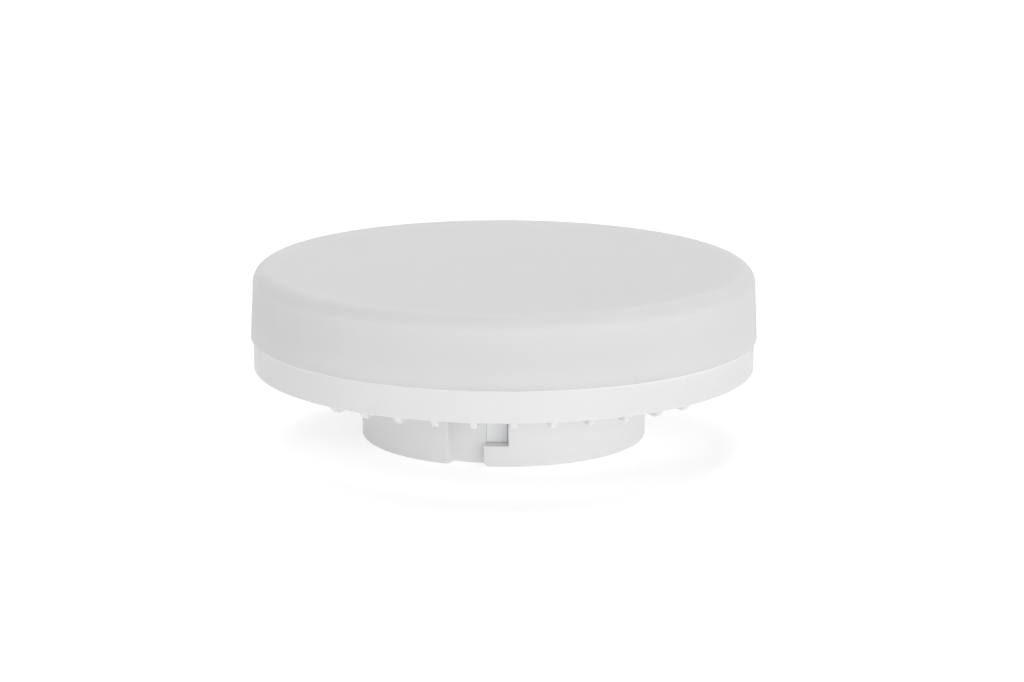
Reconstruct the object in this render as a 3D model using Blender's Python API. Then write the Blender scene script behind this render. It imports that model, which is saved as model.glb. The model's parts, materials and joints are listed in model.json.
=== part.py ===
"""LED disc lamp with a two-pin twist-lock cap, modelled at its real size.

The lamp's own frame has its origin in the middle of the hub's end face. +Z runs from the
hub to the diffuser, the two contact pins lie on the X axis, and the two L-shaped slots of
the hub face -Y and +Y.
"""
import math

import bmesh
import bpy
from mathutils import Matrix, Vector

# Steps round a full turn
LARGE_STEPS = 80
MEDIUM_STEPS = 40
SMALL_STEPS = 12
SLOT_STEPS = 5
FILLET_STEPS = 5
LEAD_BEND_STEPS = 6
SHARP_ANGLE = math.radians(30.0)

# Tolerances for picking and merging mesh elements
ANGLE_TOLERANCE = 1e-5
MERGE_DISTANCE = 1e-7

# Clearances, in metres as every length here
SEAT_GAP = 0.0003
EMBED = 0.0002
CUT_MARGIN = 0.001

# Housing: hub
HUB_RADIUS = 0.02105
HUB_HEIGHT = 0.0104
HUB_WALL = 0.0016
HUB_END_THICKNESS = 0.0016
HUB_EDGE = 0.0004

# Housing: rim and flange
RIM_RADIUS = 0.0371
RIM_WALL = 0.0015
RIM_HEIGHT = 0.0046
RIM_EDGE = 0.0002
FLANGE_RECESS = 0.0005
FLANGE_THICKNESS = 0.0015

# Housing: snap groove for the diffuser, measured down from the rim's top
GROOVE_DROP = 0.0006
GROOVE_HEIGHT = 0.0012
GROOVE_DEPTH = 0.0005

# Housing: radial cooling fins, two groups that face -Y and +Y
FINS_PER_GROUP = 11
FIN_PITCH = math.radians(9.2)
FIN_THICKNESS = 0.001
FIN_DROP = 0.0015
FIN_RISE = 0.00105
FIN_INNER_MARGIN = 0.00245
FIN_TOE_MARGIN = 0.0011
FIN_ROUNDING = 0.00035

# Housing: L-shaped slots of the twist lock, angles from -Y towards +X
ENTRY_START = math.radians(-25.2)
WINDOW_START = math.radians(-9.8)
WINDOW_END = math.radians(0.0)
SLOT_OVERLAP = math.radians(0.3)
SLOT_DEPTH = 0.002
SLOT_FLOOR_WALL = 0.0015
SLOT_SIDE_WALL = math.radians(5.0)
SLOT_TOP_LIP = 0.0007
LUG_HEIGHT = 0.00295
LUG_LEAD_IN = 0.0007

# Housing: lands that carry the pins, and posts that carry the LED board
LAND_HALF_ANGLE = math.radians(38.0)
LAND_DROP = 0.001
LAND_MARGIN = 0.0045
LAND_INNER_MARGIN = 0.0013
LAND_EDGE = 0.0004
POST_ANGLE = math.radians(27.0)
POST_RADIUS = 0.0024
SEAT_RING_WIDTH = 0.0012
SEAT_RING_INSET = 0.0008
SEAT_RING_HEIGHT = 0.0015
SEAT_RING_HALF_ANGLE = math.radians(50.0)

# Diffuser
EDGE_OVERHANG = 0.0004
DIFFUSER_HEIGHT = 0.0103
DIFFUSER_DRAFT = 0.00035
DIFFUSER_WALL = 0.0014
DIFFUSER_TOP_THICKNESS = 0.0016
DIFFUSER_FILLET = 0.0024
DIFFUSER_FOOT = 0.0009
SKIRT_WALL = 0.0012
SKIRT_LENGTH = 0.0024

# Contact pins: their circle lies this share of the way from the hub to the rim, which gives
# them their pitch of 53 mm
PIN_RING_SHARE = 0.37457
PIN_PROJECTION = 0.004
PIN_HEAD_RADIUS = 0.0025
PIN_HEAD_HEIGHT = 0.0018
PIN_HEAD_EDGE = 0.0004
PIN_NECK_RADIUS = 0.0016
PIN_SHOULDER_RADIUS = 0.0026
PIN_SHOULDER_HEIGHT = 0.0006
PIN_SHANK_RADIUS = 0.0013
PIN_COLLAR_RADIUS = 0.0019
PIN_COLLAR_HEIGHT = 0.0005
PIN_INSULATION = 0.0026

# Heat spreader, LED board and what they carry
SPREADER_THICKNESS = 0.001
SPREADER_EDGE_HEIGHT = 0.0023
SPREADER_EDGE_ROUNDING = 0.0007
LED_BOARD_THICKNESS = 0.001
LED_LENGTH = 0.0035
LED_WIDTH = 0.0028
LED_HEIGHT = 0.0008
LED_WINDOW_INSET = 0.0004
LED_WINDOW_DEPTH = 0.0002
LED_EDGE_DISTANCES = (0.005, 0.0175)
LED_COUNTS = (12, 6)

# Screws
SCREW_EDGE_DISTANCE = 0.006
SCREW_LENGTH = 0.0055
SCREW_SHANK_RADIUS = 0.0009
SCREW_HEAD_RADIUS = 0.0021
SCREW_HEAD_HEIGHT = 0.0013
SCREW_RECESS_LENGTH = 0.0022
SCREW_RECESS_WIDTH = 0.0005
SCREW_RECESS_DEPTH = 0.0006
SCREW_CROWN_SHARE = 0.7

# Driver cup and board
CUP_WALL = 0.0008
CUP_TOP_DROP = 0.0004
CUP_LEDGE_HEIGHT = 0.0006
CUP_LEDGE_REACH = 0.0016
CUP_LEDGE_HALF_ANGLE = math.radians(7.0)
CUP_LEDGES = 4
DRIVER_BOARD_THICKNESS = 0.0012

# Header that joins the driver to the LED board
HEADER_LENGTH = 0.005
HEADER_WIDTH = 0.0025
HEADER_HEIGHT = 0.0025
HEADER_PIN_SIDE = 0.0006
HEADER_PIN_PITCH = 0.0025
CONNECTOR_LENGTH = 0.008
CONNECTOR_WIDTH = 0.0044
CONNECTOR_HEIGHT = 0.0026
CONNECTOR_ROOF = 0.0006

# Driver components, each with its place as an angle and a distance from the board's edge
CAN_EDGE = 0.0004
CAN_GROOVE = 0.0016
CHIP_TAPER = 0.93
CHIP_LEAD_RISE = 0.0006
BULK_RADIUS = 0.0038
BULK_LENGTH = 0.0115
BULK_PLACE = (math.radians(180.0), 0.0051)
OUTPUT_CAP_RADIUS = 0.0024
OUTPUT_CAP_HEIGHT = 0.007
OUTPUT_CAP_PLACE = (math.radians(-118.0), 0.0028)
DRUM_RADIUS = 0.0037
DRUM_HEIGHT = 0.0075
DRUM_FLANGE_HEIGHT = 0.0012
DRUM_CORE_RADIUS = 0.0018
WINDING_DROP = 0.0005
DRUM_PLACE = (math.radians(-24.0), 0.0039)
FILM_SIZE = (0.0072, 0.0032, 0.0062)
FILM_EDGE = 0.0003
FILM_PLACE = (math.radians(26.5), 0.0032)
BRIDGE_SIZE = (0.0047, 0.0038, 0.0024)
BRIDGE_PLACE = (math.radians(79.0), 0.0064)
BRIDGE_LEAD = (0.0006, 0.0008, 0.0004)
BRIDGE_LEADS_PER_SIDE = 2
IC_SIZE = (0.0049, 0.0039, 0.0015)
IC_PLACE = (math.radians(-78.5), 0.0064)
IC_LEAD = (0.0004, 0.0009, 0.0003)
IC_LEADS_PER_SIDE = 4
RESISTOR_RADIUS = 0.0012
RESISTOR_LENGTH = 0.0062
RESISTOR_CAP_LENGTH = 0.0014
RESISTOR_EDGE = 0.0002
RESISTOR_PLACE = (math.radians(48.5), 0.0046)
VARISTOR_RADIUS = 0.003
VARISTOR_THICKNESS = 0.0026
VARISTOR_EDGE = 0.0006
VARISTOR_PLACE = (math.radians(120.0), 0.003)

# Input leads
LEAD_RADIUS = 0.0006
LEAD_EDGE_DISTANCE = 0.00185
LEAD_BEND = 0.0017

# Levels above the hub's end face
RIM_BOTTOM = HUB_HEIGHT
RIM_TOP = RIM_BOTTOM + RIM_HEIGHT
FLANGE_BOTTOM = RIM_BOTTOM + FLANGE_RECESS
FLANGE_TOP = FLANGE_BOTTOM + FLANGE_THICKNESS
LAND_BOTTOM = RIM_BOTTOM - LAND_DROP
POST_TOP = FLANGE_TOP + SEAT_RING_HEIGHT
SPREADER_BOTTOM = POST_TOP + SEAT_GAP
SPREADER_TOP = SPREADER_BOTTOM + SPREADER_THICKNESS
LED_BOARD_BOTTOM = SPREADER_TOP + SEAT_GAP
LED_BOARD_TOP = LED_BOARD_BOTTOM + LED_BOARD_THICKNESS
CUP_BOTTOM = HUB_END_THICKNESS + SEAT_GAP
CUP_FLOOR = CUP_BOTTOM + CUP_WALL
CUP_TOP = FLANGE_TOP - CUP_TOP_DROP
DRIVER_BOARD_BOTTOM = CUP_FLOOR + CUP_LEDGE_HEIGHT + SEAT_GAP
DRIVER_BOARD_TOP = DRIVER_BOARD_BOTTOM + DRIVER_BOARD_THICKNESS
PARTS_BOTTOM = DRIVER_BOARD_TOP + SEAT_GAP
DIFFUSER_BOTTOM = RIM_TOP + SEAT_GAP
DIFFUSER_TOP = DIFFUSER_BOTTOM + DIFFUSER_HEIGHT

# Radii that follow from the driving sizes
HUB_INNER = HUB_RADIUS - HUB_WALL
SLOT_FLOOR = HUB_RADIUS - SLOT_DEPTH
SLOT_BACK = SLOT_FLOOR - SLOT_FLOOR_WALL
RIM_INNER = RIM_RADIUS - RIM_WALL
DISC_RADIUS = RIM_RADIUS + EDGE_OVERHANG
SKIRT_OUTER = RIM_INNER - SEAT_GAP
SKIRT_INNER = SKIRT_OUTER - SKIRT_WALL
SPREADER_RADIUS = SKIRT_INNER - SEAT_GAP
SEAT_RING_OUTER = SPREADER_RADIUS - SEAT_RING_INSET
LED_BOARD_RADIUS = SPREADER_RADIUS - SPREADER_THICKNESS - SEAT_GAP
CUP_RADIUS = SLOT_BACK - SEAT_GAP
DRIVER_BOARD_RADIUS = CUP_RADIUS - CUP_WALL - SEAT_GAP
LEAD_DROP_RADIUS = DRIVER_BOARD_RADIUS - LEAD_EDGE_DISTANCE
POST_CIRCLE = LED_BOARD_RADIUS - SCREW_EDGE_DISTANCE
PIN_CIRCLE = HUB_RADIUS + PIN_RING_SHARE * (RIM_INNER - HUB_RADIUS)
LAND_OUTER = PIN_CIRCLE + LAND_MARGIN
LAND_INNER = HUB_RADIUS + LAND_INNER_MARGIN


def polar(radius, angle, z=0.0):
    """Point at an angle counted from -Y towards +X, which is how the lamp is seen."""
    return Vector((radius * math.sin(angle), -radius * math.cos(angle), z))


def board_place(place, z=0.0):
    """Point over the driver board at an angle from -Y and a distance from the board's edge."""
    angle, edge_distance = place
    return polar(DRIVER_BOARD_RADIUS - edge_distance, angle, z)


def post_places():
    """Centres of the four posts, two on either side of each pin."""
    quarter = math.pi / 2
    angles = (quarter - POST_ANGLE, quarter + POST_ANGLE, -quarter - POST_ANGLE, -quarter + POST_ANGLE)
    return [polar(POST_CIRCLE, angle) for angle in angles]


def pin_places():
    """Centres of the live and the neutral pin."""
    return [Vector((PIN_CIRCLE, 0, 0)), Vector((-PIN_CIRCLE, 0, 0))]


def make_material(name, colour, roughness, metallic=0.0):
    """Principled material in one colour."""
    material = bpy.data.materials.new(name)
    material.use_nodes = True
    shader = material.node_tree.nodes["Principled BSDF"]
    shader.inputs["Base Color"].default_value = (*colour, 1.0)
    shader.inputs["Roughness"].default_value = roughness
    shader.inputs["Metallic"].default_value = metallic
    material.diffuse_color = (*colour, 1.0)
    return material


def finish_object(name, mesh_data, material=None, smooth=True):
    """Turn a bmesh into an object with outward faces and round surfaces shaded smooth."""
    bmesh.ops.recalc_face_normals(mesh_data, faces=mesh_data.faces)
    mesh = bpy.data.meshes.new(name)
    mesh_data.to_mesh(mesh)
    mesh_data.free()
    if smooth:
        mesh.shade_smooth()
        mesh.set_sharp_from_angle(angle=SHARP_ANGLE)
    if material is not None:
        mesh.materials.append(material)
    obj = bpy.data.objects.new(name, mesh)
    bpy.context.scene.collection.objects.link(obj)
    return obj


def as_tool(obj):
    """Mark an object as a construction solid that isn't part of the lamp."""
    obj.hide_render = True
    obj.display_type = "WIRE"
    return obj


def combine(target, tool, operation):
    """Add or cut a construction solid with a Boolean modifier."""
    modifier = target.modifiers.new(operation.lower() + "_" + tool.name, "BOOLEAN")
    modifier.operation = operation
    modifier.object = as_tool(tool)


def baked_mesh(pattern):
    """Mesh of a pattern object with its Booleans applied, for copies to share."""
    bpy.context.view_layer.update()
    graph = bpy.context.evaluated_depsgraph_get()
    mesh = bpy.data.meshes.new_from_object(pattern.evaluated_get(graph))
    for obj in [modifier.object for modifier in pattern.modifiers] + [pattern]:
        bpy.data.objects.remove(obj, do_unlink=True)
    return mesh


def place_copy(name, mesh, place, angle=0.0):
    """Object that shares a mesh with its fellows, at its own place and turn about Z."""
    obj = bpy.data.objects.new(name, mesh)
    obj.location = place
    obj.rotation_euler = (0.0, 0.0, angle)
    bpy.context.scene.collection.objects.link(obj)


def turned(profile, steps):
    """Solid made by spinning a closed profile of (radius, z) points about the Z axis."""
    mesh_data = bmesh.new()
    verts = [mesh_data.verts.new((radius, 0.0, z)) for radius, z in profile]
    pairs = [(verts[i - 1], verts[i]) for i in range(len(verts))]
    edges = [mesh_data.edges.new(pair) for pair in pairs if any(v.co.x > 0.0 for v in pair)]
    bmesh.ops.spin(mesh_data, geom=verts + edges, axis=(0, 0, 1), cent=(0, 0, 0),
                   angle=math.tau, steps=steps, use_merge=True)
    bmesh.ops.remove_doubles(mesh_data, verts=mesh_data.verts, dist=MERGE_DISTANCE)
    return mesh_data


def add_sector(mesh_data, inner, outer, start, end, bottom, top, steps):
    """Ring sector between two radii, two angles from -Y and two levels."""
    corners = [(inner, bottom), (outer, bottom), (outer, top), (inner, top)]
    face = mesh_data.faces.new([mesh_data.verts.new(polar(r, start, z)) for r, z in corners])
    geometry = [face] + list(face.verts) + list(face.edges)
    bmesh.ops.spin(mesh_data, geom=geometry, axis=(0, 0, 1), cent=(0, 0, 0),
                   angle=end - start, steps=steps)


def add_box(mesh_data, size, centre, turn=Matrix.Identity(3)):
    """Box of a size round its centre, turned about it, returned as its new vertices."""
    made = bmesh.ops.create_cube(mesh_data, size=1.0)["verts"]
    bmesh.ops.scale(mesh_data, verts=made, vec=size)
    bmesh.ops.rotate(mesh_data, verts=made, cent=(0, 0, 0), matrix=turn)
    bmesh.ops.translate(mesh_data, verts=made, vec=centre)
    return made


def add_cylinder(mesh_data, radius, bottom, top, place, steps=SMALL_STEPS):
    """Upright cylinder between two levels at a place."""
    made = bmesh.ops.create_cone(mesh_data, cap_ends=True, segments=steps, radius1=radius,
                                 radius2=radius, depth=top - bottom)["verts"]
    bmesh.ops.translate(mesh_data, verts=made, vec=(place[0], place[1], (bottom + top) / 2))


def arc(centre, radius, start, end, steps):
    """Points along an arc in the (radius, z) plane."""
    points = []
    for i in range(steps + 1):
        angle = start + (end - start) * i / steps
        points.append((centre[0] + radius * math.cos(angle), centre[1] + radius * math.sin(angle)))
    return points


def housing_profile():
    """Section of the housing moulding: hub, flange, and rim with its snap groove."""
    groove_top = RIM_TOP - GROOVE_DROP
    groove_bottom = groove_top - GROOVE_HEIGHT
    groove_slope = GROOVE_DEPTH / 2
    return [
        (0.0, 0.0),
        (HUB_RADIUS - HUB_EDGE, 0.0),
        (HUB_RADIUS, HUB_EDGE),
        (HUB_RADIUS, FLANGE_BOTTOM),
        (RIM_INNER, FLANGE_BOTTOM),
        (RIM_INNER, RIM_BOTTOM),
        (RIM_RADIUS - RIM_EDGE, RIM_BOTTOM),
        (RIM_RADIUS, RIM_BOTTOM + RIM_EDGE),
        (RIM_RADIUS, RIM_TOP - RIM_EDGE),
        (RIM_RADIUS - RIM_EDGE, RIM_TOP),
        (RIM_INNER, RIM_TOP),
        (RIM_INNER, groove_top),
        (RIM_INNER + GROOVE_DEPTH, groove_top - groove_slope),
        (RIM_INNER + GROOVE_DEPTH, groove_bottom + groove_slope),
        (RIM_INNER, groove_bottom),
        (RIM_INNER, FLANGE_TOP),
        (HUB_INNER, FLANGE_TOP),
        (HUB_INNER, HUB_END_THICKNESS),
        (0.0, HUB_END_THICKNESS),
    ]


def make_fin_plate():
    """One fin that faces -Y: a thin plate with a chamfered toe and a rounded lower edge."""
    heel = HUB_RADIUS + FIN_INNER_MARGIN
    toe = RIM_INNER - FIN_TOE_MARGIN
    low = RIM_BOTTOM - FIN_DROP
    rim_reach = toe + FIN_DROP + EMBED
    top = FLANGE_BOTTOM + EMBED
    outline = [(toe, low), (heel, low + FIN_RISE), (heel, top), (rim_reach, top),
               (rim_reach, RIM_BOTTOM + EMBED)]
    mesh_data = bmesh.new()
    half = FIN_THICKNESS / 2
    sides = [[mesh_data.verts.new((x, -r, z)) for r, z in outline] for x in (-half, half)]
    for side in sides:
        mesh_data.faces.new(side)
    for i in range(len(outline)):
        mesh_data.faces.new((sides[0][i - 1], sides[0][i], sides[1][i], sides[1][i - 1]))
    lower = [mesh_data.edges.get((side[0], side[i])) for side in sides for i in (1, -1)]
    bmesh.ops.bevel(mesh_data, geom=lower, offset=FIN_ROUNDING, segments=2, profile=0.5,
                    affect="EDGES")
    plate = bpy.data.meshes.new("fin_plate")
    mesh_data.to_mesh(plate)
    mesh_data.free()
    return plate


def make_fins():
    """Both groups of fins, as one construction solid of separate plates."""
    plate = make_fin_plate()
    mesh_data = bmesh.new()
    middle = (FINS_PER_GROUP - 1) / 2
    for facing in (0.0, math.pi):
        for i in range(FINS_PER_GROUP):
            placed = set(mesh_data.verts)
            mesh_data.from_mesh(plate)
            fresh = [v for v in mesh_data.verts if v not in placed]
            turn = Matrix.Rotation(facing + (i - middle) * FIN_PITCH, 3, "Z")
            bmesh.ops.rotate(mesh_data, verts=fresh, cent=(0, 0, 0), matrix=turn)
    return finish_object("fin_tool", mesh_data)


def make_lands():
    """The two pin lands: thick sectors under the flange with chamfered lower edges."""
    mesh_data = bmesh.new()
    for side in (math.pi / 2, -math.pi / 2):
        add_sector(mesh_data, LAND_INNER, LAND_OUTER, side - LAND_HALF_ANGLE,
                   side + LAND_HALF_ANGLE, LAND_BOTTOM, FLANGE_BOTTOM + EMBED, SMALL_STEPS)
    bmesh.ops.recalc_face_normals(mesh_data, faces=mesh_data.faces)
    lower = [edge for edge in mesh_data.edges
             if all(abs(v.co.z - LAND_BOTTOM) < EMBED / 2 for v in edge.verts)
             and any(abs(face.normal.z) < 0.5 for face in edge.link_faces)]
    bmesh.ops.bevel(mesh_data, geom=lower, offset=LAND_EDGE, segments=1, affect="EDGES")
    return finish_object("land_tool", mesh_data)


def make_slot_walls():
    """Where the slots are cut, the hub's wall steps inwards so that it keeps its thickness."""
    mesh_data = bmesh.new()
    for facing in (0.0, math.pi):
        add_sector(mesh_data, SLOT_BACK, HUB_INNER + EMBED, facing + ENTRY_START - SLOT_SIDE_WALL,
                   facing + WINDOW_END + SLOT_SIDE_WALL, HUB_END_THICKNESS - EMBED,
                   FLANGE_TOP - EMBED, 2 * SLOT_STEPS)
    return finish_object("slot_wall_tool", mesh_data)


def make_seats():
    """Posts for the screws, and two ribs that carry the dish and stay clear of the pins."""
    mesh_data = bmesh.new()
    for place in post_places():
        add_cylinder(mesh_data, POST_RADIUS, FLANGE_TOP - EMBED, POST_TOP, place)
    for facing in (0.0, math.pi):
        add_sector(mesh_data, SEAT_RING_OUTER - SEAT_RING_WIDTH, SEAT_RING_OUTER,
                   facing - SEAT_RING_HALF_ANGLE, facing + SEAT_RING_HALF_ANGLE,
                   FLANGE_TOP - EMBED, POST_TOP, 2 * SMALL_STEPS)
    return finish_object("seat_tool", mesh_data)


def make_entries():
    """Cutters for the open channels by which the holder's lugs enter.

    Each mouth flares towards the locking lug, which gives the lug its lead-in chamfer.
    """
    mesh_data = bmesh.new()
    flare = (LUG_LEAD_IN + CUT_MARGIN) / HUB_RADIUS
    for facing in (0.0, math.pi):
        placed = set(mesh_data.verts)
        end = facing + WINDOW_START + SLOT_OVERLAP
        add_sector(mesh_data, SLOT_FLOOR, HUB_RADIUS + CUT_MARGIN, facing + ENTRY_START, end,
                   -CUT_MARGIN, FLANGE_BOTTOM - SLOT_TOP_LIP, SLOT_STEPS)
        fresh = [v for v in mesh_data.verts if v not in placed]
        geometry = fresh + [edge for edge in mesh_data.edges if edge.verts[0] in fresh]
        geometry += [face for face in mesh_data.faces if face.verts[0] in fresh]
        bmesh.ops.bisect_plane(mesh_data, geom=geometry, plane_co=(0, 0, LUG_LEAD_IN),
                               plane_no=(0, 0, 1))
        along_end = polar(1.0, end)
        mouth = [v for v in fresh if v.co.z < 0.0
                 and v.co.xy.normalized().dot(along_end.xy) > 1.0 - ANGLE_TOLERANCE]
        bmesh.ops.rotate(mesh_data, verts=mouth, cent=(0, 0, 0),
                         matrix=Matrix.Rotation(flare, 3, "Z"))
    return finish_object("entry_cutter", mesh_data)


def make_windows():
    """Cutters for the windows that the holder's lugs turn into, right through the wall."""
    mesh_data = bmesh.new()
    for facing in (0.0, math.pi):
        add_sector(mesh_data, SLOT_BACK - CUT_MARGIN, HUB_RADIUS + CUT_MARGIN,
                   facing + WINDOW_START, facing + WINDOW_END, LUG_HEIGHT,
                   FLANGE_BOTTOM - SLOT_TOP_LIP, SLOT_STEPS)
    return finish_object("window_cutter", mesh_data)


def make_fixing_holes():
    """Cutters for the holes of the pins and the pilot holes of the screws."""
    mesh_data = bmesh.new()
    for place in pin_places():
        add_cylinder(mesh_data, PIN_SHANK_RADIUS + SEAT_GAP, LAND_BOTTOM - CUT_MARGIN,
                     FLANGE_TOP + CUT_MARGIN, place)
    hole_bottom = LED_BOARD_TOP + SEAT_GAP - SCREW_LENGTH - SEAT_GAP
    for place in post_places():
        add_cylinder(mesh_data, SCREW_SHANK_RADIUS + SEAT_GAP, hole_bottom,
                     POST_TOP + CUT_MARGIN, place)
    return finish_object("fixing_hole_cutter", mesh_data)


def make_housing(material):
    """The white moulding that carries everything."""
    housing = finish_object("housing", turned(housing_profile(), LARGE_STEPS), material)
    for solid in (make_fins(), make_lands(), make_slot_walls(), make_seats()):
        combine(housing, solid, "UNION")
    for cutter in (make_entries(), make_windows(), make_fixing_holes()):
        combine(housing, cutter, "DIFFERENCE")


def diffuser_profile():
    """Section of the opal cup, from its lower outer edge round to its snap skirt."""
    wall_top = DISC_RADIUS - DIFFUSER_DRAFT
    fillet_centre = (wall_top - DIFFUSER_FILLET, DIFFUSER_TOP - DIFFUSER_FILLET)
    inside_top = DIFFUSER_TOP - DIFFUSER_TOP_THICKNESS
    inside_fillet = DIFFUSER_FILLET - DIFFUSER_WALL
    inside_centre = (fillet_centre[0], inside_top - inside_fillet)
    foot_top = DIFFUSER_BOTTOM + DIFFUSER_FOOT
    skirt_bottom = DIFFUSER_BOTTOM - SKIRT_LENGTH
    bead_radius = RIM_INNER + GROOVE_DEPTH - SEAT_GAP
    bead_reach = bead_radius - SKIRT_OUTER
    bead_middle = RIM_TOP - GROOVE_DROP - GROOVE_HEIGHT / 2
    outside = arc(fillet_centre, DIFFUSER_FILLET, 0.0, math.pi / 2, FILLET_STEPS)
    inside = arc(inside_centre, inside_fillet, math.pi / 2, 0.0, 2)
    return (
        [(DISC_RADIUS, DIFFUSER_BOTTOM)]
        + outside
        + [(0.0, DIFFUSER_TOP), (0.0, inside_top)]
        + inside
        + [
            (DISC_RADIUS - DIFFUSER_WALL, foot_top + DIFFUSER_WALL),
            (SKIRT_INNER, foot_top),
            (SKIRT_INNER, skirt_bottom),
            (SKIRT_OUTER, skirt_bottom),
            (SKIRT_OUTER, bead_middle - bead_reach),
            (bead_radius, bead_middle),
            (SKIRT_OUTER, bead_middle + bead_reach),
            (SKIRT_OUTER, DIFFUSER_BOTTOM),
        ]
    )


def make_diffuser(material):
    """Opal cup that snaps into the rim."""
    finish_object("diffuser", turned(diffuser_profile(), LARGE_STEPS), material)


def make_pins(material):
    """Mushroom-headed contact pins, each staked through its land."""
    head_bottom = LAND_BOTTOM - PIN_PROJECTION
    head_top = head_bottom + PIN_HEAD_HEIGHT
    shoulder_top = LAND_BOTTOM - SEAT_GAP
    shoulder_bottom = shoulder_top - PIN_SHOULDER_HEIGHT
    collar_bottom = FLANGE_TOP + SEAT_GAP
    profile = [
        (0.0, head_bottom),
        (PIN_HEAD_RADIUS - PIN_HEAD_EDGE, head_bottom),
        (PIN_HEAD_RADIUS, head_bottom + PIN_HEAD_EDGE),
        (PIN_HEAD_RADIUS, head_top - PIN_HEAD_EDGE),
        (PIN_HEAD_RADIUS - PIN_HEAD_EDGE, head_top),
        (PIN_NECK_RADIUS, head_top),
        (PIN_NECK_RADIUS, shoulder_bottom),
        (PIN_SHOULDER_RADIUS, shoulder_bottom),
        (PIN_SHOULDER_RADIUS, shoulder_top),
        (PIN_SHANK_RADIUS, shoulder_top),
        (PIN_SHANK_RADIUS, collar_bottom),
        (PIN_COLLAR_RADIUS, collar_bottom),
        (PIN_COLLAR_RADIUS, collar_bottom + PIN_COLLAR_HEIGHT),
        (0.0, collar_bottom + PIN_COLLAR_HEIGHT),
    ]
    for name, place in zip(("contact_pin_live", "contact_pin_neutral"), pin_places()):
        pin = finish_object(name, turned(profile, SMALL_STEPS), material)
        pin.location = place


def make_spreader(material):
    """Pressed aluminium dish with holes for the screws, the header and the pins' insulation."""
    bottom = SPREADER_BOTTOM
    edge_top = bottom + SPREADER_EDGE_HEIGHT
    profile = [
        (0.0, bottom),
        (SPREADER_RADIUS - SPREADER_EDGE_ROUNDING, bottom),
        (SPREADER_RADIUS, bottom + SPREADER_EDGE_ROUNDING),
        (SPREADER_RADIUS, edge_top),
        (SPREADER_RADIUS - SPREADER_THICKNESS, edge_top),
        (SPREADER_RADIUS - SPREADER_THICKNESS, SPREADER_TOP),
        (0.0, SPREADER_TOP),
    ]
    spreader = finish_object("heat_spreader", turned(profile, MEDIUM_STEPS), material)
    cutters = bmesh.new()
    low = SPREADER_BOTTOM - CUT_MARGIN
    high = SPREADER_TOP + CUT_MARGIN
    for place in post_places():
        add_cylinder(cutters, SCREW_SHANK_RADIUS + SEAT_GAP, low, high, place)
    for place in pin_places():
        add_cylinder(cutters, PIN_COLLAR_RADIUS + PIN_INSULATION, low, high, place)
    add_box(cutters, (HEADER_LENGTH, HEADER_WIDTH, high - low), (0, 0, (low + high) / 2))
    combine(spreader, finish_object("spreader_cutter", cutters), "DIFFERENCE")


def make_led_board(material):
    """Aluminium-core board inside the dish."""
    mesh_data = bmesh.new()
    add_cylinder(mesh_data, LED_BOARD_RADIUS, LED_BOARD_BOTTOM, LED_BOARD_TOP, (0, 0), MEDIUM_STEPS)
    board = finish_object("led_board", mesh_data, material)
    cutters = bmesh.new()
    low = LED_BOARD_BOTTOM - CUT_MARGIN
    high = LED_BOARD_TOP + CUT_MARGIN
    for place in post_places():
        add_cylinder(cutters, SCREW_SHANK_RADIUS + SEAT_GAP, low, high, place)
    add_box(cutters, (HEADER_LENGTH, HEADER_WIDTH, high - low), (0, 0, (low + high) / 2))
    combine(board, finish_object("led_board_cutter", cutters), "DIFFERENCE")


def make_leds(material):
    """Surface-mount LEDs in two rings, each with its sunk light window."""
    mesh_data = bmesh.new()
    add_box(mesh_data, (LED_LENGTH, LED_WIDTH, LED_HEIGHT), (0, 0, LED_HEIGHT / 2))
    top = max(mesh_data.faces, key=lambda face: face.calc_center_median().z)
    bmesh.ops.inset_individual(mesh_data, faces=[top], thickness=LED_WINDOW_INSET)
    bmesh.ops.translate(mesh_data, verts=list(top.verts), vec=(0, 0, -LED_WINDOW_DEPTH))
    mesh = baked_mesh(finish_object("led_pattern", mesh_data, material, smooth=False))
    number = 0
    for count, edge_distance in zip(LED_COUNTS, LED_EDGE_DISTANCES):
        radius = LED_BOARD_RADIUS - edge_distance
        for i in range(count):
            number += 1
            angle = math.tau * (i + 0.5) / count
            place_copy(f"led_{number:02d}", mesh, polar(radius, angle, LED_BOARD_TOP + SEAT_GAP),
                       angle)


def make_screws(material):
    """Four screws through the LED board and the dish into the posts."""
    crown = SCREW_HEAD_RADIUS * SCREW_CROWN_SHARE
    profile = [
        (0.0, -SCREW_LENGTH),
        (SCREW_SHANK_RADIUS, SCREW_SHANK_RADIUS - SCREW_LENGTH),
        (SCREW_SHANK_RADIUS, 0.0),
        (SCREW_HEAD_RADIUS, 0.0),
        (SCREW_HEAD_RADIUS, SCREW_HEAD_HEIGHT / 2),
        (crown, SCREW_HEAD_HEIGHT),
        (0.0, SCREW_HEAD_HEIGHT),
    ]
    pattern = finish_object("screw_pattern", turned(profile, SMALL_STEPS), material)
    depth = 2 * SCREW_RECESS_DEPTH
    for size in ((SCREW_RECESS_LENGTH, SCREW_RECESS_WIDTH, depth),
                 (SCREW_RECESS_WIDTH, SCREW_RECESS_LENGTH, depth)):
        cutter = bmesh.new()
        add_box(cutter, size, (0, 0, SCREW_HEAD_HEIGHT))
        combine(pattern, finish_object("recess_cutter", cutter), "DIFFERENCE")
    mesh = baked_mesh(pattern)
    for number, place in enumerate(post_places(), start=1):
        place_copy(f"board_screw_{number}", mesh, (place.x, place.y, LED_BOARD_TOP + SEAT_GAP))


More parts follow.
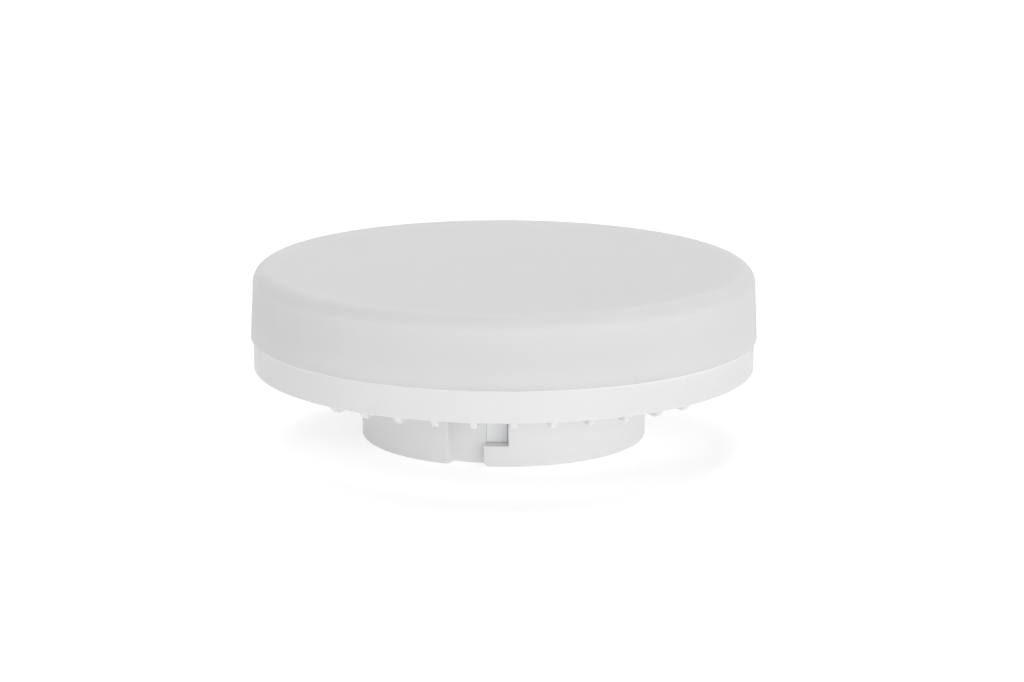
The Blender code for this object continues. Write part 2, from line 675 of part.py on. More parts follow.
def make_cup_pads():
    """Snap pads that fill the slots' windows from inside, flush with the floors of the slots."""
    mesh_data = bmesh.new()
    side_gap = SEAT_GAP / SLOT_BACK
    for facing in (0.0, math.pi):
        add_sector(mesh_data, CUP_RADIUS - EMBED, SLOT_FLOOR, facing + WINDOW_START + side_gap,
                   facing + WINDOW_END - side_gap, LUG_HEIGHT + SEAT_GAP,
                   FLANGE_BOTTOM - SLOT_TOP_LIP - SEAT_GAP, SLOT_STEPS)
    return finish_object("pad_tool", mesh_data)


def make_driver_cup(material):
    """Insulating cup in the hub, with its pads and the ledges that the driver board rests on."""
    inner = CUP_RADIUS - CUP_WALL
    profile = [(0.0, CUP_BOTTOM), (CUP_RADIUS, CUP_BOTTOM), (CUP_RADIUS, CUP_TOP),
               (inner, CUP_TOP), (inner, CUP_FLOOR), (0.0, CUP_FLOOR)]
    cup = finish_object("driver_cup", turned(profile, MEDIUM_STEPS), material)
    ledges = bmesh.new()
    for i in range(CUP_LEDGES):
        angle = math.tau * (i + 0.5) / CUP_LEDGES
        add_sector(ledges, inner - CUP_LEDGE_REACH, inner + EMBED, angle - CUP_LEDGE_HALF_ANGLE,
                   angle + CUP_LEDGE_HALF_ANGLE, CUP_FLOOR - EMBED,
                   CUP_FLOOR + CUP_LEDGE_HEIGHT, 2)
    combine(cup, finish_object("ledge_tool", ledges), "UNION")
    combine(cup, make_cup_pads(), "UNION")


def make_driver_board(material):
    """Round board of the driver."""
    mesh_data = bmesh.new()
    add_cylinder(mesh_data, DRIVER_BOARD_RADIUS, DRIVER_BOARD_BOTTOM, DRIVER_BOARD_TOP, (0, 0),
                 MEDIUM_STEPS)
    finish_object("driver_board", mesh_data, material)


def header_pin_places():
    """Centres of the header's two pins."""
    return [Vector((HEADER_PIN_PITCH / 2, 0, 0)), Vector((-HEADER_PIN_PITCH / 2, 0, 0))]


def make_header(body_material, connector_material):
    """Two-pin header on the driver board, and the socket over its tips on the LED board."""
    tip = LED_BOARD_TOP + SEAT_GAP + CONNECTOR_HEIGHT - CONNECTOR_ROOF - SEAT_GAP
    mesh_data = bmesh.new()
    add_box(mesh_data, (HEADER_LENGTH, HEADER_WIDTH, HEADER_HEIGHT),
            (0, 0, PARTS_BOTTOM + HEADER_HEIGHT / 2))
    header = finish_object("output_header", mesh_data, body_material)
    pins = bmesh.new()
    foot = PARTS_BOTTOM + HEADER_HEIGHT / 2
    for place in header_pin_places():
        add_box(pins, (HEADER_PIN_SIDE, HEADER_PIN_SIDE, tip - foot),
                (place.x, place.y, (tip + foot) / 2))
    combine(header, finish_object("header_pin_tool", pins), "UNION")

    seat = LED_BOARD_TOP + SEAT_GAP
    mesh_data = bmesh.new()
    add_box(mesh_data, (CONNECTOR_LENGTH, CONNECTOR_WIDTH, CONNECTOR_HEIGHT),
            (0, 0, seat + CONNECTOR_HEIGHT / 2))
    connector = finish_object("board_connector", mesh_data, connector_material)
    sockets = bmesh.new()
    side = HEADER_PIN_SIDE + 2 * SEAT_GAP
    ceiling = seat + CONNECTOR_HEIGHT - CONNECTOR_ROOF
    for place in header_pin_places():
        add_box(sockets, (side, side, ceiling - seat + CUT_MARGIN),
                (place.x, place.y, (ceiling + seat - CUT_MARGIN) / 2))
    combine(connector, finish_object("socket_cutter", sockets), "DIFFERENCE")


def make_can(name, radius, length, material):
    """Electrolytic can with its rolled groove near the base, standing on its base at z = 0."""
    waist = radius - CAN_EDGE
    profile = [(0.0, 0.0), (waist, 0.0), (radius, CAN_EDGE), (radius, CAN_GROOVE - CAN_EDGE),
               (waist, CAN_GROOVE), (radius, CAN_GROOVE + CAN_EDGE),
               (radius, length - CAN_EDGE), (waist, length), (0.0, length)]
    return finish_object(name, turned(profile, SMALL_STEPS), material)


def make_capacitors(material):
    """The bulk capacitor lies on the board, and the output capacitor stands on it."""
    bulk = make_can("bulk_capacitor", BULK_RADIUS, BULK_LENGTH, material)
    bulk.rotation_euler = (0, math.pi / 2, 0)
    bulk.location = board_place(BULK_PLACE, PARTS_BOTTOM + BULK_RADIUS)
    bulk.location.x -= BULK_LENGTH / 2
    output = make_can("output_capacitor", OUTPUT_CAP_RADIUS, OUTPUT_CAP_HEIGHT, material)
    output.location = board_place(OUTPUT_CAP_PLACE, PARTS_BOTTOM)


def make_inductor(core_material, winding_material):
    """Ferrite drum with its winding between the flanges."""
    flange_inner = DRUM_HEIGHT - DRUM_FLANGE_HEIGHT
    core = [(0.0, 0.0), (DRUM_RADIUS, 0.0), (DRUM_RADIUS, DRUM_FLANGE_HEIGHT),
            (DRUM_CORE_RADIUS, DRUM_FLANGE_HEIGHT), (DRUM_CORE_RADIUS, flange_inner),
            (DRUM_RADIUS, flange_inner), (DRUM_RADIUS, DRUM_HEIGHT), (0.0, DRUM_HEIGHT)]
    inner = DRUM_CORE_RADIUS + SEAT_GAP
    outer = DRUM_RADIUS - WINDING_DROP
    low = DRUM_FLANGE_HEIGHT + SEAT_GAP
    high = flange_inner - SEAT_GAP
    winding = [(inner, low), (outer, low), (outer, high), (inner, high)]
    parts = (("inductor_core", core, core_material), ("inductor_winding", winding, winding_material))
    for name, profile, material in parts:
        piece = finish_object(name, turned(profile, SMALL_STEPS), material)
        piece.location = board_place(DRUM_PLACE, PARTS_BOTTOM)


def make_chip(name, size, place, lead, leads_per_side, material):
    """Moulded chip with gull-wing leads along both long sides."""
    length, width, height = size
    lead_width, lead_reach, lead_lift = lead
    mesh_data = bmesh.new()
    verts = add_box(mesh_data, size, (0, 0, lead_lift + height / 2))
    upper = [v for v in verts if v.co.z > lead_lift + height / 2]
    bmesh.ops.scale(mesh_data, verts=upper, vec=(CHIP_TAPER, CHIP_TAPER, 1.0))
    chip = finish_object(name, mesh_data, material, smooth=False)
    chip.location = board_place(place, PARTS_BOTTOM)
    leads = bmesh.new()
    pitch = length / leads_per_side
    depth = lead_lift + CHIP_LEAD_RISE
    for side in (-1, 1):
        for i in range(leads_per_side):
            x = (i - (leads_per_side - 1) / 2) * pitch
            y = side * (width + lead_reach) / 2
            add_box(leads, (lead_width, lead_reach + 2 * EMBED, depth), (x, y, depth / 2))
    lead_tool = finish_object(name + "_lead_tool", leads)
    lead_tool.location = chip.location
    combine(chip, lead_tool, "UNION")


def make_film_capacitor(material):
    """Box film capacitor with softened edges."""
    mesh_data = bmesh.new()
    add_box(mesh_data, FILM_SIZE, board_place(FILM_PLACE, PARTS_BOTTOM + FILM_SIZE[2] / 2))
    bmesh.ops.bevel(mesh_data, geom=list(mesh_data.edges), offset=FILM_EDGE, segments=1,
                    affect="EDGES")
    finish_object("film_capacitor", mesh_data, material, smooth=False)


def make_resistor(material):
    """Fusible resistor that lies on the board, with its waisted body along X."""
    waist = RESISTOR_RADIUS - RESISTOR_EDGE
    end_caps = []
    for side in (-1, 1):
        end = side * RESISTOR_LENGTH / 2
        shoulder = end - side * RESISTOR_EDGE
        neck = end - side * RESISTOR_CAP_LENGTH
        end_caps.append([(0.0, end), (waist, end), (RESISTOR_RADIUS, shoulder),
                         (RESISTOR_RADIUS, neck), (waist, neck - side * RESISTOR_EDGE)])
    profile = end_caps[0] + end_caps[1][::-1]
    resistor = finish_object("fusible_resistor", turned(profile, SMALL_STEPS), material)
    resistor.rotation_euler = (0, math.pi / 2, 0)
    resistor.location = board_place(RESISTOR_PLACE, PARTS_BOTTOM + RESISTOR_RADIUS)


def make_varistor(material):
    """Varistor disc that stands on its edge, with its faces towards -X and +X."""
    half = VARISTOR_THICKNESS / 2
    face = VARISTOR_RADIUS - VARISTOR_EDGE
    band = half - VARISTOR_EDGE
    profile = [(0.0, -half), (face, -half), (VARISTOR_RADIUS, -band),
               (VARISTOR_RADIUS, band), (face, half), (0.0, half)]
    varistor = finish_object("varistor", turned(profile, SMALL_STEPS), material)
    varistor.rotation_euler = (0, math.pi / 2, 0)
    varistor.location = board_place(VARISTOR_PLACE, PARTS_BOTTOM + VARISTOR_RADIUS)


def make_leads(live_material, neutral_material):
    """Insulated leads that lie on the flange, from each pin's collar down to the driver board."""
    level = FLANGE_TOP + SEAT_GAP + LEAD_RADIUS
    start = PIN_CIRCLE - PIN_COLLAR_RADIUS - SEAT_GAP
    bend_centre = LEAD_DROP_RADIUS + LEAD_BEND
    route = [(start, level)]
    for i in range(LEAD_BEND_STEPS + 1):
        angle = math.pi / 2 * i / LEAD_BEND_STEPS
        route.append((bend_centre - LEAD_BEND * math.sin(angle),
                      level - LEAD_BEND * (1 - math.cos(angle))))
    route.append((LEAD_DROP_RADIUS, PARTS_BOTTOM))
    leads = (("input_lead_live", 1, live_material), ("input_lead_neutral", -1, neutral_material))
    for name, side, material in leads:
        curve = bpy.data.curves.new(name, "CURVE")
        curve.dimensions = "3D"
        curve.bevel_depth = LEAD_RADIUS
        curve.bevel_resolution = 2
        curve.use_fill_caps = True
        spline = curve.splines.new("POLY")
        spline.points.add(len(route) - 1)
        for point, (radius, z) in zip(spline.points, route):
            point.co = (side * radius, 0.0, z, 1.0)
        curve.materials.append(material)
        lead = bpy.data.objects.new(name, curve)
        bpy.context.scene.collection.objects.link(lead)


def main():
    for obj in list(bpy.data.objects):
        bpy.data.objects.remove(obj, do_unlink=True)

    white_plastic = make_material("white_housing_plastic", (0.80, 0.80, 0.80), 0.45)
    opal = make_material("opal_diffuser", (0.72, 0.72, 0.72), 0.5)
    liner = make_material("insulating_liner", (0.74, 0.77, 0.80), 0.5)
    plated = make_material("nickel_plated_brass", (0.72, 0.70, 0.66), 0.25, 1.0)
    aluminium = make_material("pressed_aluminium", (0.70, 0.71, 0.72), 0.4, 1.0)
    white_mask = make_material("white_board_mask", (0.85, 0.85, 0.84), 0.4)
    phosphor = make_material("led_phosphor", (0.85, 0.72, 0.25), 0.5)
    steel = make_material("zinc_plated_steel", (0.60, 0.61, 0.62), 0.35, 1.0)
    green_board = make_material("green_board", (0.06, 0.24, 0.10), 0.5)
    black_plastic = make_material("black_component_plastic", (0.02, 0.02, 0.02), 0.45)
    sleeve = make_material("capacitor_sleeve", (0.03, 0.04, 0.07), 0.35)
    ferrite = make_material("ferrite", (0.05, 0.05, 0.05), 0.6)
    copper = make_material("enamelled_copper", (0.55, 0.22, 0.08), 0.3, 1.0)
    film = make_material("film_capacitor_box", (0.45, 0.12, 0.08), 0.45)
    lacquer = make_material("resistor_lacquer", (0.20, 0.38, 0.36), 0.4)
    ceramic = make_material("varistor_coating", (0.04, 0.12, 0.42), 0.45)
    live = make_material("live_lead_insulation", (0.50, 0.04, 0.03), 0.45)
    neutral = make_material("neutral_lead_insulation", (0.03, 0.03, 0.03), 0.45)

    make_housing(white_plastic)
    make_diffuser(opal)
    make_pins(plated)
    make_spreader(aluminium)
    make_led_board(white_mask)
    make_leds(phosphor)
    make_screws(steel)
    make_driver_cup(liner)
    make_driver_board(green_board)
    make_header(black_plastic, white_mask)
    make_capacitors(sleeve)
    make_inductor(ferrite, copper)
    make_film_capacitor(film)
    make_chip("bridge_rectifier", BRIDGE_SIZE, BRIDGE_PLACE, BRIDGE_LEAD, BRIDGE_LEADS_PER_SIDE,
              black_plastic)
    make_chip("driver_ic", IC_SIZE, IC_PLACE, IC_LEAD, IC_LEADS_PER_SIDE, black_plastic)
    make_resistor(lacquer)
    make_varistor(ceramic)
    make_leads(live, neutral)


main()
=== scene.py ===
"""Looks of an LED disc lamp: a finely moulded housing, an opal diffuser, plated pins and a studio.

All lengths are metres in the lamp's own frame: the origin is the middle of the hub's end face
and +Z runs to the diffuser. Angles on the lamp are counted from -Y towards +X.
"""
import json
import math

import bmesh
import bpy
from mathutils import Matrix, Vector


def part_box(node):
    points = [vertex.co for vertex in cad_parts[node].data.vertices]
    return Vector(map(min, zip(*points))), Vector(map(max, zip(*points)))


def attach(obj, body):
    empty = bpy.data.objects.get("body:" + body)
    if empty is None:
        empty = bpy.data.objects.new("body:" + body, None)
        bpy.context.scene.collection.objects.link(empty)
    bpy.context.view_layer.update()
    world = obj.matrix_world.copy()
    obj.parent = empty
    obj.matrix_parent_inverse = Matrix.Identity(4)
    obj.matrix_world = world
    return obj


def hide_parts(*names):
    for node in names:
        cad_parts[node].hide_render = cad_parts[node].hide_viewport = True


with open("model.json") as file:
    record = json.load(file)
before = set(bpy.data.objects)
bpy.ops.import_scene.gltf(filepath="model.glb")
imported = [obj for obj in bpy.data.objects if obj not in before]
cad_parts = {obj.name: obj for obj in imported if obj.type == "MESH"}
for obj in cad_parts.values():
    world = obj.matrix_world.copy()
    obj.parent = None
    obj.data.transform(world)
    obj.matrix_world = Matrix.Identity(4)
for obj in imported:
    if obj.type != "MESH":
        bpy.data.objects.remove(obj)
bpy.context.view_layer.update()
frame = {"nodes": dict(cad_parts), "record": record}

HALF_TURN = math.pi
QUARTER_TURN = math.pi / 2

# Sizes read from the frame
_, HOUSING_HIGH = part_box("housing")
DIFFUSER_LOW, DIFFUSER_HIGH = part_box("diffuser")
CUP_LOW, CUP_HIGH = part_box("driver_cup")
PIN_LOW, PIN_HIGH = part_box("contact_pin_live")
PIN_CIRCLE = (PIN_LOW.x + PIN_HIGH.x) / 2
RIM_RADIUS = HOUSING_HIGH.x
RIM_TOP = HOUSING_HIGH.z
DISC_RADIUS = DIFFUSER_HIGH.x
DIFFUSER_TOP = DIFFUSER_HIGH.z
SKIRT_BOTTOM = DIFFUSER_LOW.z
CUP_RADIUS = CUP_HIGH.x

# Fineness of the turned and swept surfaces: steps round the axis and along rounded corners
RING_STEPS = 288
CUP_STEPS = 144
PIN_STEPS = 64
POST_STEPS = 32
CORNER_STEPS = 6
EDGE_STEPS = 4
SMALL_EDGE_STEPS = 3
INNER_EDGE_STEPS = 2
ROUND_PROFILE = 0.5

# Extra points between the corners of a section
END_FACE_POINTS = 5
SLOT_POINTS = 8
LAND_POINTS = 6
WALL_POINTS = 3
FLANGE_POINTS = 2
DIFFUSER_WALL_POINTS = 5
DIFFUSER_TOP_POINTS = 7

# Limits: an even step round the housing is left out where it lies closer to a feature's border
# than a step divided by BORDER_CLEARANCE
BORDER_CLEARANCE = 3
SHARP_ANGLE = math.radians(40.0)
WELD_DISTANCE = 1e-6
TOUCH = 1e-9

# Housing: hub and rim
HUB_RADIUS = 0.02105
HUB_WALL = 0.0016
HUB_END_THICKNESS = 0.0016
HUB_EDGE = 0.0003
HUB_ROOT = 0.0003
END_FACE_RING = 0.0172
GATE_RADIUS = 0.0016
GATE_FLOOR_RADIUS = 0.00128
GATE_DEPTH = 0.00012
RIM_HEIGHT = 0.0046
RIM_WALL = 0.0015
RIM_TOP_EDGE = 0.0001
RIM_BOTTOM_EDGE = 0.0002
FLANGE_RECESS = 0.0005
FLANGE_THICKNESS = 0.0015
GROOVE_DROP = 0.0006
GROOVE_HEIGHT = 0.0012
GROOVE_DEPTH = 0.0005

# Housing: slots of the twist lock
ENTRY_START = math.radians(-25.2)
WINDOW_START = math.radians(-9.8)
WINDOW_END = math.radians(0.0)
SLOT_DEPTH = 0.002
SLOT_FLOOR_WALL = 0.0015
SLOT_SIDE_WALL = math.radians(5.0)
SLOT_TOP_LIP = 0.0007
LUG_HEIGHT = 0.00295
LUG_LEAD_IN = 0.00055
LEAD_IN_FADE = 0.003
SLOT_ROUNDING = 0.00016
WINDOW_DRAFT = 0.00002
WALL_DRAFT = 0.00004

# Housing: pin lands, seat ribs, posts and fins
LAND_HALF_ANGLE = math.radians(38.0)
LAND_DROP = 0.001
LAND_MARGIN = 0.0045
LAND_INNER_MARGIN = 0.0013
LAND_ROUNDING = 0.0004
RIB_OUTER = 0.033
RIB_WIDTH = 0.0012
RIB_HEIGHT = 0.0015
RIB_HALF_ANGLE = math.radians(50.0)
POST_CIRCLE = 0.0265
POST_ANGLE = math.radians(27.0)
POST_RADIUS = 0.0024
POST_HOLE_RADIUS = 0.0012
FINS_PER_GROUP = 11
FIN_PITCH = math.radians(9.2)
FIN_THICKNESS = 0.0011
FIN_DROP = 0.0015
FIN_RISE = 0.00105
FIN_INNER_MARGIN = 0.00245
FIN_TOE_MARGIN = 0.0011
FIN_ROUNDING = 0.00036
FIN_EMBED = 0.0002

# Diffuser; its seam with the rim is closed up, as the snapped and glued lamp shows it
SEAM_GAP = 0.00002
SNAP_GAP = 0.0003
DIFFUSER_DRAFT = 0.00035
DIFFUSER_WALL = 0.0014
DIFFUSER_TOP_THICKNESS = 0.0016
DIFFUSER_FILLET = 0.0024
DIFFUSER_EDGE = 0.00006
DIFFUSER_FOOT = 0.0009
SKIRT_WALL = 0.0012
FILLET_STEPS = 16

# Contact pins
PIN_PROJECTION = 0.004
PIN_HEAD_RADIUS = 0.0025
PIN_HEAD_HEIGHT = 0.0018
PIN_HEAD_EDGE = 0.0004
PIN_NECK_RADIUS = 0.0016
PIN_NECK_FILLET = 0.0003
PIN_SHOULDER_RADIUS = 0.0026
PIN_SHOULDER_HEIGHT = 0.0006
PIN_SHANK_RADIUS = 0.0013
PIN_COLLAR_RADIUS = 0.0019
PIN_COLLAR_HEIGHT = 0.0005
PIN_EDGE = 0.00015

# Driver cup
CUP_WALL = 0.0008
CUP_EDGE = 0.0002
CUP_CLEARANCE = 0.00003
CUP_LEDGE_HEIGHT = 0.0006
CUP_LEDGE_REACH = 0.0016
CUP_LEDGE_HALF_ANGLE = math.radians(7.0)
CUP_LEDGES = 4
BOX_FACES = ((0, 1, 3, 2), (4, 6, 7, 5), (0, 4, 5, 1), (2, 3, 7, 6), (0, 2, 6, 4), (1, 5, 7, 3))
PAD_GAP = 0.00001
PAD_EDGE = 0.00002
PAD_STEPS = 8

# Camera: distance, direction and aim that give the photograph's view
CAMERA_DISTANCE = 0.5232
CAMERA_AZIMUTH = math.radians(-2.3)
CAMERA_ELEVATION = math.radians(13.0)
CAMERA_PIVOT = Vector((0.0, 0.0, 0.0104))
CAMERA_YAW = 0.0023
CAMERA_PITCH = 0.0065
CAMERA_ROLL = 0.0029
CAMERA_LENS = 123.56
SENSOR_WIDTH = 36.0

# Studio: each soft box has a turn to the camera's right, a rise, a distance, a size and a level,
# and at level 1 it alone makes a surface that faces it render about as its colour is written
FLOOR_SIZE = 6.0
FLOOR_LEVEL = -0.0001
FLOOR_COLOUR = (0.9, 0.9, 0.9)
FLOOR_VARIATION = 0.01
FLOOR_GRAIN = 400.0
FLOOR_GLOW = 0.46
FLOOR_FAR_GLOW = 0.95
FLOOR_NEAR = 0.15
FLOOR_FAR = 0.7
FLOOR_LIGHT = 0.36
AMBIENT = 0.1
LIGHT_AIM = Vector((0.0, 0.0, 0.012))
LIGHTS = (
    ("key_light", math.radians(36.0), math.radians(4.0), 0.9, 0.5, 0.34),
    ("front_light", math.radians(0.0), math.radians(6.0), 0.9, 0.5, 0.2),
    ("high_light", math.radians(-5.0), math.radians(60.0), 0.9, 0.6, 0.14),
    ("right_light", math.radians(85.0), math.radians(12.0), 0.9, 0.6, 0.13),
    ("left_light", math.radians(-62.0), math.radians(12.0), 0.9, 0.6, 0.06),
    ("high_left_light", math.radians(-50.0), math.radians(50.0), 0.9, 0.5, 0.12),
    ("back_light", math.radians(180.0), math.radians(55.0), 1.0, 0.8, 0.61),
)

# Finishes: colours of the two mouldings, and texture scales in cycles a metre
HOUSING_COLOUR = (0.8, 0.8, 0.8)
LINER_COLOUR = (0.83, 0.842, 0.854)
DIFFUSER_COLOUR = (0.86, 0.86, 0.86)
CLOUD_SCALE = 70.0
WAVE_SCALE = 240.0
GRAIN_SCALE = 4200.0
WIRE_SCALE = 800.0
CLOUD_DETAIL = 3.0
WAVE_DETAIL = 2.0
GRAIN_DETAIL = 3.0
SOFT_ROUGHNESS = 0.5
GRAIN_ROUGHNESS = 0.6
DRAWN_ROUGHNESS = 0.7
TINT_RANGE = (0.25, 0.75)
SUBSURFACE_DEPTH = 0.006

# Nodes that a finer piece of this script replaces
REPLACED = ("housing", "diffuser", "contact_pin_live", "contact_pin_neutral", "driver_cup")

# Levels and radii that follow from the sizes above
RIM_BOTTOM = RIM_TOP - RIM_HEIGHT
FLANGE_BOTTOM = RIM_BOTTOM + FLANGE_RECESS
FLANGE_TOP = FLANGE_BOTTOM + FLANGE_THICKNESS
LAND_BOTTOM = RIM_BOTTOM - LAND_DROP
SLOT_TOP = FLANGE_BOTTOM - SLOT_TOP_LIP
RIM_INNER = RIM_RADIUS - RIM_WALL
HUB_INNER = HUB_RADIUS - HUB_WALL
SLOT_BACK = HUB_RADIUS - SLOT_DEPTH - SLOT_FLOOR_WALL
LAND_INNER = HUB_RADIUS + LAND_INNER_MARGIN
LAND_OUTER = PIN_CIRCLE + LAND_MARGIN
DIFFUSER_BOTTOM = RIM_TOP + SEAM_GAP
SKIRT_OUTER = RIM_INNER - SNAP_GAP
SKIRT_INNER = SKIRT_OUTER - SKIRT_WALL


def polar(radius, angle, z=0.0):
    """Point at an angle counted from -Y towards +X."""
    return Vector((radius * math.sin(angle), -radius * math.cos(angle), z))


def arc(centre, radius, start, end, steps=CORNER_STEPS):
    """Points along an arc in the (radius, z) plane, angles in degrees from +radius to +z."""
    points = []
    for i in range(steps + 1):
        angle = math.radians(start + (end - start) * i / steps)
        points.append((centre[0] + radius * math.cos(angle), centre[1] + radius * math.sin(angle)))
    return points


def spread(start, end, count):
    """Evenly spaced values between two ends, without the ends."""
    return [start + (end - start) * (i + 1) / (count + 1) for i in range(count)]


def finish_mesh(name, mesh_data, material):
    """Make a smooth-shaded object whose flat faces keep their own shading."""
    bmesh.ops.recalc_face_normals(mesh_data, faces=mesh_data.faces)
    mesh = bpy.data.meshes.new(name)
    mesh_data.to_mesh(mesh)
    mesh_data.free()
    mesh.shade_smooth()
    mesh.set_sharp_from_angle(angle=SHARP_ANGLE)
    mesh.materials.append(material)
    obj = bpy.data.objects.new(name, mesh)
    link(obj)
    weighted = obj.modifiers.new("weighted_normals", "WEIGHTED_NORMAL")
    weighted.keep_sharp = True
    return obj


def join(mesh_data, addition):
    """Move another bmesh's faces into one."""
    mesh = bpy.data.meshes.new("addition")
    addition.to_mesh(mesh)
    addition.free()
    mesh_data.from_mesh(mesh)
    bpy.data.meshes.remove(mesh)


def lathe(mesh_data, profile, steps, place=(0.0, 0.0)):
    """Add the closed surface of a profile that is turned about an upright axis."""
    rings = []
    for radius, z in profile:
        if radius < TOUCH:
            rings.append([mesh_data.verts.new((place[0], place[1], z))])
            continue
        ring = []
        for i in range(steps):
            point = polar(radius, math.tau * i / steps, z)
            ring.append(mesh_data.verts.new((point.x + place[0], point.y + place[1], z)))
        rings.append(ring)
    for lower, upper in zip(rings, rings[1:] + rings[:1]):
        if len(lower) == 1 and len(upper) == 1:
            continue
        for i in range(steps):
            j = (i + 1) % steps
            if len(lower) == 1:
                mesh_data.faces.new((lower[0], upper[j], upper[i]))
            elif len(upper) == 1:
                mesh_data.faces.new((lower[i], lower[j], upper[0]))
            else:
                mesh_data.faces.new((lower[i], lower[j], upper[j], upper[i]))


# Housing

def edge_offsets(rounding):
    """Distances into a pocket at which its rounded edge and steep wall have their points."""
    turns = [math.radians(90.0 * i / EDGE_STEPS) for i in range(EDGE_STEPS + 1)]
    return [rounding * math.sin(turn) for turn in turns] + [rounding + WALL_DRAFT]


def pocket_drop(distance, depth, rounding):
    """Depth of a pocket at a distance inside its border, across the rounded edge and wall."""
    if distance <= TOUCH:
        return 0.0
    if distance <= rounding + TOUCH:
        return rounding - math.sqrt(max(rounding ** 2 - distance ** 2, 0.0))
    share = min((distance - rounding) / WALL_DRAFT, 1.0)
    return rounding + (depth - rounding) * share


def boss_offsets(rounding):
    """Distances into a boss at which its steep wall and rounded edge have their points."""
    turns = [math.radians(90.0 * i / EDGE_STEPS) for i in range(EDGE_STEPS + 1)]
    return [0.0] + [WALL_DRAFT + rounding * (1 - math.cos(turn)) for turn in turns]


def boss_rise(distance, height, rounding):
    """Height of a boss at a distance inside its border."""
    if distance <= TOUCH:
        return 0.0
    if distance <= WALL_DRAFT + TOUCH:
        return (height - rounding) * min(distance / WALL_DRAFT, 1.0)
    reach = min(distance - WALL_DRAFT, rounding)
    return height - rounding + math.sqrt(max(rounding ** 2 - (rounding - reach) ** 2, 0.0))


def folded(angle):
    """Angle from the nearer of -Y and +Y, since the housing repeats after half a turn."""
    return (angle + QUARTER_TURN) % HALF_TURN - QUARTER_TURN


def slot_drop(angle, z):
    """How far the hub's outer wall lies inside its round surface."""
    from_entry = (angle - ENTRY_START) * HUB_RADIUS
    to_lug = (WINDOW_START - angle) * HUB_RADIUS
    to_end = (WINDOW_END - angle) * HUB_RADIUS
    channel = min(from_entry, to_lug, SLOT_TOP - z)
    gallery = min(from_entry, to_end, z - LUG_HEIGHT, SLOT_TOP - z)
    drop = pocket_drop(max(channel, gallery), SLOT_DEPTH, SLOT_ROUNDING)
    beyond = min(to_end, z - LUG_HEIGHT, SLOT_TOP - z) - SLOT_ROUNDING - WALL_DRAFT
    through = SLOT_FLOOR_WALL * max(0.0, min(beyond / WALL_DRAFT, 1.0))
    from_side = WINDOW_DRAFT - to_lug
    return drop + min(through, SLOT_FLOOR_WALL * max(0.0, min(from_side / WINDOW_DRAFT, 1.0)))


def lead_in_turn(angle, z):
    """Turn of the lug's entry side near the hub's end, where it flares. It fades along the lug."""
    beyond = (angle - WINDOW_START) * HUB_RADIUS
    border = SLOT_ROUNDING + WALL_DRAFT
    if z >= LUG_LEAD_IN or beyond < -border - TOUCH or beyond > LEAD_IN_FADE:
        return 0.0
    share = min((LEAD_IN_FADE - beyond) / (LEAD_IN_FADE - border), 1.0)
    return share * (LUG_LEAD_IN - z) / HUB_RADIUS


def land_rise(angle, radius):
    """How far a pin land stands below the flange."""
    sideways = (abs(angle) - QUARTER_TURN + LAND_HALF_ANGLE) * PIN_CIRCLE
    inside = min(sideways, radius - LAND_INNER, LAND_OUTER - radius)
    return boss_rise(inside, FLANGE_BOTTOM - LAND_BOTTOM, LAND_ROUNDING)


def rib_rise(angle, radius):
    """How far a seat rib stands above the flange."""
    sideways = (RIB_HALF_ANGLE - abs(angle)) * RIB_OUTER
    inside = min(sideways, radius - RIB_OUTER + RIB_WIDTH, RIB_OUTER - radius)
    return boss_rise(inside, RIB_HEIGHT, WALL_DRAFT)


def well_step(angle):
    """How far the hub's inner wall steps inwards behind a slot."""
    inside = min(angle - ENTRY_START + SLOT_SIDE_WALL, WINDOW_END + SLOT_SIDE_WALL - angle)
    share = max(0.0, min(inside * HUB_RADIUS / WALL_DRAFT, 1.0))
    return (HUB_INNER - SLOT_BACK) * share


def slot_levels():
    """Heights at which the slots' borders have their points, from the lug up to the slot's top."""
    offsets = edge_offsets(SLOT_ROUNDING)
    offsets.append(offsets[-1] + WALL_DRAFT)
    low = [LUG_HEIGHT + offset for offset in offsets]
    high = [SLOT_TOP - offset for offset in reversed(offsets)]
    return low + spread(low[-1], high[0], SLOT_POINTS) + high


